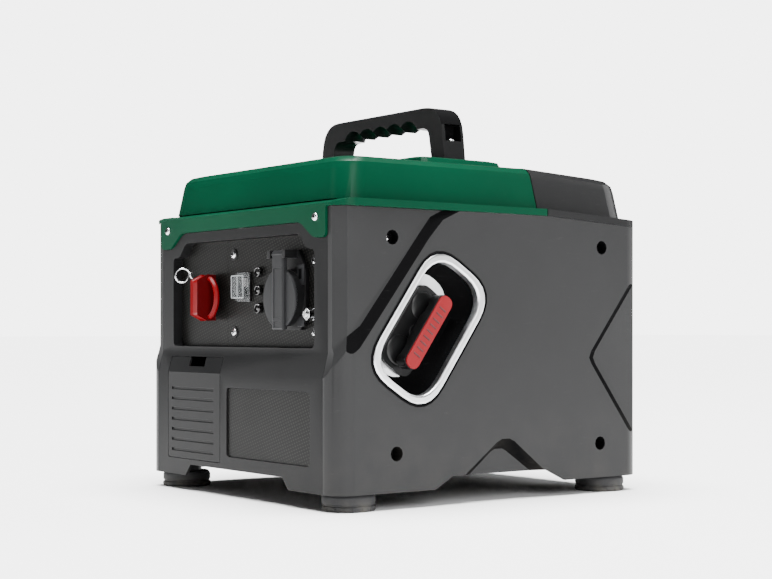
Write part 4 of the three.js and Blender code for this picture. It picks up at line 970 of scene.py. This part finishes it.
# ---------------------------------------------------------------- recoil starter
@dataclass
class Starter(Assembly):
    """The recoil starter's chrome rim, its cup and guide, and the red-faced grip on its rope."""

    centre: Vector = field(default_factory=lambda: Vector((-79.5, 158.6)))
    floor: float = 141.0
    share: float = 0.83
    corners: tuple[tuple[float, float], ...] = ((34.8, -22.5), (-39.7, -55.4))
    insert: tuple[float, float] = (14.4, 75.4)
    face: float = 166.0
    ribs: int = 9
    rope_ends: tuple[float, float] = (4.0, 156.0)

    def build(self) -> None:
        """Makes the rim, the cup, the guide and the grip."""
        rim = Placing("machine", SATIN_CHROME, Slot.CHROME, ("recoil_bezel",))
        skin = Bench().from_node("recoil_bezel")
        finished("recoil_bezel_skin", skin, rim, smooth=40.0, bevel=2.3, steps=4, limit=40.0)
        # A near-black ring where the rim meets the side cover: a painted shadow line in the gap.
        across, along = (Vector(side) * 1.012 for side in self.corners)
        ring = rounded([self.centre + across * a + along * b for a, b in CORNERS], 32.0)
        shadow_ring = Bench()
        shadow_ring.tube([Vector((SIDE_X, p.x, p.y)) for p in ring + ring[:2]], 1.2)
        finished("recoil_bezel_shadow_ring", shadow_ring, Placing("machine", CHARCOAL_PAINTED_SHADE, Slot.BLACK), smooth=60.0)
        # The steel cup takes the near-black matte: painted shade of its deep well.
        cup = Placing("machine", CHARCOAL_PAINTED_SHADE, Slot.STEEL, ("recoil_cup",))
        finished("recoil_cup_skin", Bench().from_node("recoil_cup"), cup, smooth=40.0)
        self.floor_plate()
        self.guide()
        self.grip()
        self.rope()

    def floor_plate(self) -> None:
        """The bright plate on the cup's floor."""
        across, along = (Vector(side) for side in self.corners)
        middle = self.centre - ACROSS * 6.0
        ring = [middle + across * a * self.share * 0.7 + along * b * self.share * 0.9 for a, b in CORNERS]
        bench = Bench()
        bench.plate([(self.floor + 0.03, p.x, p.y) for p in rounded(ring, 24.0)], (0.2, 0.0, 0.0))
        finished("cup_floor", bench, Placing("machine", SATIN_CHROME, Slot.STEEL))

    def guide(self) -> None:
        """The rope guide: a rounded plate with two domes beside a dark eye."""
        plate = Placing("machine", BLACK, Slot.BLACK, ("rope_guide",))
        finished("rope_guide_skin", Bench().from_node("rope_guide"), plate, smooth=40.0, bevel=1.4, steps=3)
        domes = Bench()
        for side in (-1, 1):
            spot = self.centre + SLANT * (24.0 * side + 2.0) - ACROSS * 4.0
            turns = [math.radians(degrees) for degrees in range(0, 91, 10)]
            arc = [(14.0 * math.cos(turn), 3.8 + 2.2 * math.sin(turn)) for turn in turns]
            domes.lathe(arc[:-1] + [(0.0, 6.0)], (self.floor, *spot), Axis.X, 40)
        finished("rope_guide_domes", domes, Placing("machine", HANDLE_BLACK, Slot.BLACK))
        eye = Bench()
        eye.lathe(((4.3, 4.2), (5.0, 4.9), (6.4, 4.9), (7.2, 4.1)), (self.floor, *PULL), Axis.X, 32)
        finished("rope_eye", eye, Placing("machine", BLACK, Slot.BLACK))

    def grip(self) -> None:
        """The waisted grip, its red insert and the insert's ribs."""
        body = Placing("starter_grip_body", BLACK, Slot.BLACK, ("starter_grip",))
        skin = Bench().from_node("starter_grip")
        finished("starter_grip_skin", skin, body, smooth=40.0, bevel=1.2, steps=3)
        width, length = self.insert
        bench = Bench()
        bench.plate(slant_bar(PULL, width, length, self.face - 1.6, width / 2), (1.6, 0.0, 0.0))
        red = Placing("starter_grip_body", RED_INSERT, Slot.RED, ("grip_insert",))
        finished("grip_insert_skin", bench, red, bevel=0.6, steps=3, limit=60.0)
        marks = Bench()
        for i in range(self.ribs):
            spot = PULL + SLANT * (i - (self.ribs - 1) / 2) * 6.2
            turn = Matrix.Rotation(math.atan2(SLANT.y, SLANT.x), 4, "X")
            marks.solid_block(Matrix.Translation((self.face + 0.1, spot.x, spot.y)) @ turn, (0.7, 1.5, 8.4))
        ribs = Placing("starter_grip_body", RED_DEEP, Slot.RED)
        finished("grip_insert_ribs", marks, ribs, bevel=0.25)

    def rope(self) -> None:
        """The braided rope, which draws out of the case behind the grip."""
        low, high = self.rope_ends
        rings = [low + (high - low) * i / 48 for i in range(49)]
        bench = Bench()
        bench.lathe(((0.0, low), *((2.0, x) for x in rings), (0.0, high)), (0.0, *PULL), Axis.X, 20)
        stretch = ((low, *PULL), (high - 8.0, *PULL))
        placing = Placing("starter_grip_body", CORD, Slot.CORD, ("starter_rope",), stretch=stretch)
        finished("starter_rope_braid", bench, placing, smooth=60.0)


# ---------------------------------------------------------------- screws
@dataclass
class Screws(Assembly):
    """Every visible pan-head screw, with its cross recess and the panel's dark washers."""

    radius: float = 3.7
    height: float = 2.4
    panel: tuple[tuple[float, float], ...] = ((-24.2, 229.0), (-23.2, 155.2), (113.4, 218.7), (113.4, 155.2))

    def spots(self) -> dict[str, tuple[Point, Axis, float]]:
        """Each screw's name, seat, axis and which way along it the head faces."""
        found: dict[str, tuple[Point, Axis, float]] = {}
        for label, side in (("left", -1), ("right", 1)):
            found[f"apron_screw_{label}"] = ((side * 131.5, APRON_Y, 256.0), Axis.Y, -1)
            found[f"handle_screw_{label}"] = ((side * 96.5, 0.0, 337.3), Axis.Z, 1)
        for i, (x, z) in enumerate(self.panel, 1):
            found[f"panel_screw_{i}"] = ((x, PLATE_Y, z), Axis.Y, -1)
        for i, (y, z) in enumerate(SIDE_SCREWS, 1):
            found[f"side_screw_{i}"] = ((WELL_X, y, z), Axis.X, 1)
            found[f"left_screw_{i}"] = ((-WELL_X, y, z), Axis.X, -1)
        return found

    def build(self) -> None:
        """Makes the heads, then their recesses and washers in two dark pieces."""
        crosses = Bench()
        washers = Bench()
        for name, (place, axis, way) in self.spots().items():
            self.head(name, place, axis, way)
            lift = Matrix.Translation((0.0, 0.0, way * (self.height - 0.1)))
            seat = Matrix.Translation(place) @ axis.value @ lift
            # Near-black crosses on the heads stand for the recesses: painted shade.
            for quarter in (0, 1):
                turn = Matrix.Rotation(0.4 + quarter * math.pi / 2, 4, "Z")
                crosses.solid_block(seat @ turn, (4.0, 0.9, 0.5))
            if name.startswith("panel"):
                section = ((3.9, 0.1), (5.2, 0.1), (5.7, 0.5), (5.2, 0.9), (3.9, 0.9), (3.9, 0.1))
                washers.lathe([(radius, way * level) for radius, level in section], place, axis, 32)
        finished("screw_recesses", crosses, Placing("machine", CHARCOAL_PAINTED_SHADE, Slot.BLACK))
        finished("panel_washers", washers.recalculated(), Placing("machine", BLACK, Slot.BLACK))

    def head(self, name: str, place: Point, axis: Axis, way: float) -> None:
        """One domed head on its shank."""
        r, high = self.radius, self.height
        profile = [(0.0, -3.0), (2.0, -3.0), (2.0, 0.3), (r, 0.3), (r, 1.0), (r * 0.9, high * 0.72),
                   (r * 0.66, high * 0.93), (r * 0.4, high), (0.0, high)]
        bench = Bench()
        bench.lathe([(radius, way * level) for radius, level in profile], place, axis, 24)
        nodes = (name,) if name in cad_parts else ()
        placing = Placing("machine", CHROME, Slot.CHROME, nodes)
        finished(name + "_head", bench.recalculated(), placing, smooth=40.0)


# ---------------------------------------------------------------- stage
@dataclass
class Studio:
    """A pale floor, soft lights and the camera."""

    camera_place: Point = (1282.84, -956.88, 158.5)
    heading: float = 53.42
    lens: float = 74.42
    shift: float = 0.051
    floor_half: float = 30.0
    white: float = 6.5
    ambient: float = 0.1
    overhead: float = 17.0

    def build(self) -> None:
        """Sets out the floor, the lights and the camera."""
        self.floor()
        self.sky()
        self.softbox("key", (2.6, -0.5, 1.3), (0.0, 0.0, 0.15), 1.4, 52.0)
        self.softbox("left", (-1.3, -2.4, 1.2), (0.0, -0.1, 0.15), 0.9, 3.0)
        self.softbox("back", (0.9, 2.3, 1.2), (0.1, 0.1, 0.15), 1.2, 26.0)
        self.sun()
        self.camera()

    def sky(self) -> None:
        """Dim light from all round, in front of a white surround."""
        world = bpy.data.worlds.new("studio")
        world.use_nodes = True
        tree = world.node_tree
        ground = tree.nodes["Background"]
        ground.inputs["Color"].default_value = rgb(1.0, 1.0, 1.0)
        ground.inputs["Strength"].default_value = self.ambient
        white = tree.nodes.new("ShaderNodeBackground")
        white.inputs["Strength"].default_value = self.white
        path = tree.nodes.new("ShaderNodeLightPath")
        mix = tree.nodes.new("ShaderNodeMixShader")
        tree.links.new(path.outputs["Is Camera Ray"], mix.inputs[0])
        tree.links.new(ground.outputs[0], mix.inputs[1])
        tree.links.new(white.outputs[0], mix.inputs[2])
        tree.links.new(mix.outputs[0], tree.nodes["World Output"].inputs["Surface"])
        bpy.context.scene.world = world

    def sun(self) -> None:
        """Broad even light from straight above, which keeps the floor pale."""
        lamp = bpy.data.lights.new("overhead", "SUN")
        lamp.energy = self.overhead
        lamp.angle = math.radians(50)
        holder = bpy.data.objects.new("overhead", lamp)
        holder.location = (0.0, 0.0, 3.0)
        bpy.context.scene.collection.objects.link(holder)

    def floor(self) -> None:
        """A wide pale sheet under the feet."""
        bm = bmesh.new()
        bmesh.ops.create_grid(bm, x_segments=1, y_segments=1, size=self.floor_half)
        mesh = bpy.data.meshes.new("floor")
        bm.to_mesh(mesh)
        bm.free()
        book = FinishBook("floor_paper")
        tone = book.mixed(book.noise(3.0), rgb(0.9, 0.9, 0.9), rgb(0.93, 0.93, 0.93))
        grain = book.noise(300.0)
        book.linked(tone, grain * 0.05 + 0.85, book.bump(grain, 0.02, 0.0005))
        mesh.materials.append(book.material)
        floor = bpy.data.objects.new("floor", mesh)
        bpy.context.scene.collection.objects.link(floor)

    def softbox(self, name: str, place: Point, aim: Point, size: float, watts: float) -> None:
        """One square area light aimed at a point."""
        lamp = bpy.data.lights.new(name, "AREA")
        lamp.shape = "SQUARE"
        lamp.size = size
        lamp.energy = watts
        holder = bpy.data.objects.new(name, lamp)
        holder.location = place
        holder.rotation_euler = (Vector(aim) - Vector(place)).to_track_quat("-Z", "Y").to_euler()
        bpy.context.scene.collection.objects.link(holder)

    def camera(self) -> None:
        """The camera at its place and heading."""
        eye = bpy.data.cameras.new("camera")
        eye.lens = self.lens
        eye.sensor_width = 36.0
        eye.shift_y = self.shift
        holder = bpy.data.objects.new("camera", eye)
        holder.location = to_frame(self.camera_place)
        holder.rotation_euler = (math.pi / 2, 0.0, math.radians(self.heading))
        bpy.context.scene.collection.objects.link(holder)
        bpy.context.scene.camera = holder


def main() -> None:
    """Builds and dresses the sub-assemblies in order, then the stage."""
    logging.basicConfig(level=logging.INFO)
    assemblies: tuple[Assembly, ...] = (
        Casing(), Handle(), Feet(), FuelKnob(), RockerSwitch(), Lamps(), MainsSocket(), GroundTerminal(),
        Starter(), Screws(),
    )
    for assembly in assemblies:
        assembly.build()
        assembly.dress()
        LOG.info("%s done", type(assembly).__name__)
    Studio().build()


if __name__ == "__main__":
    main()
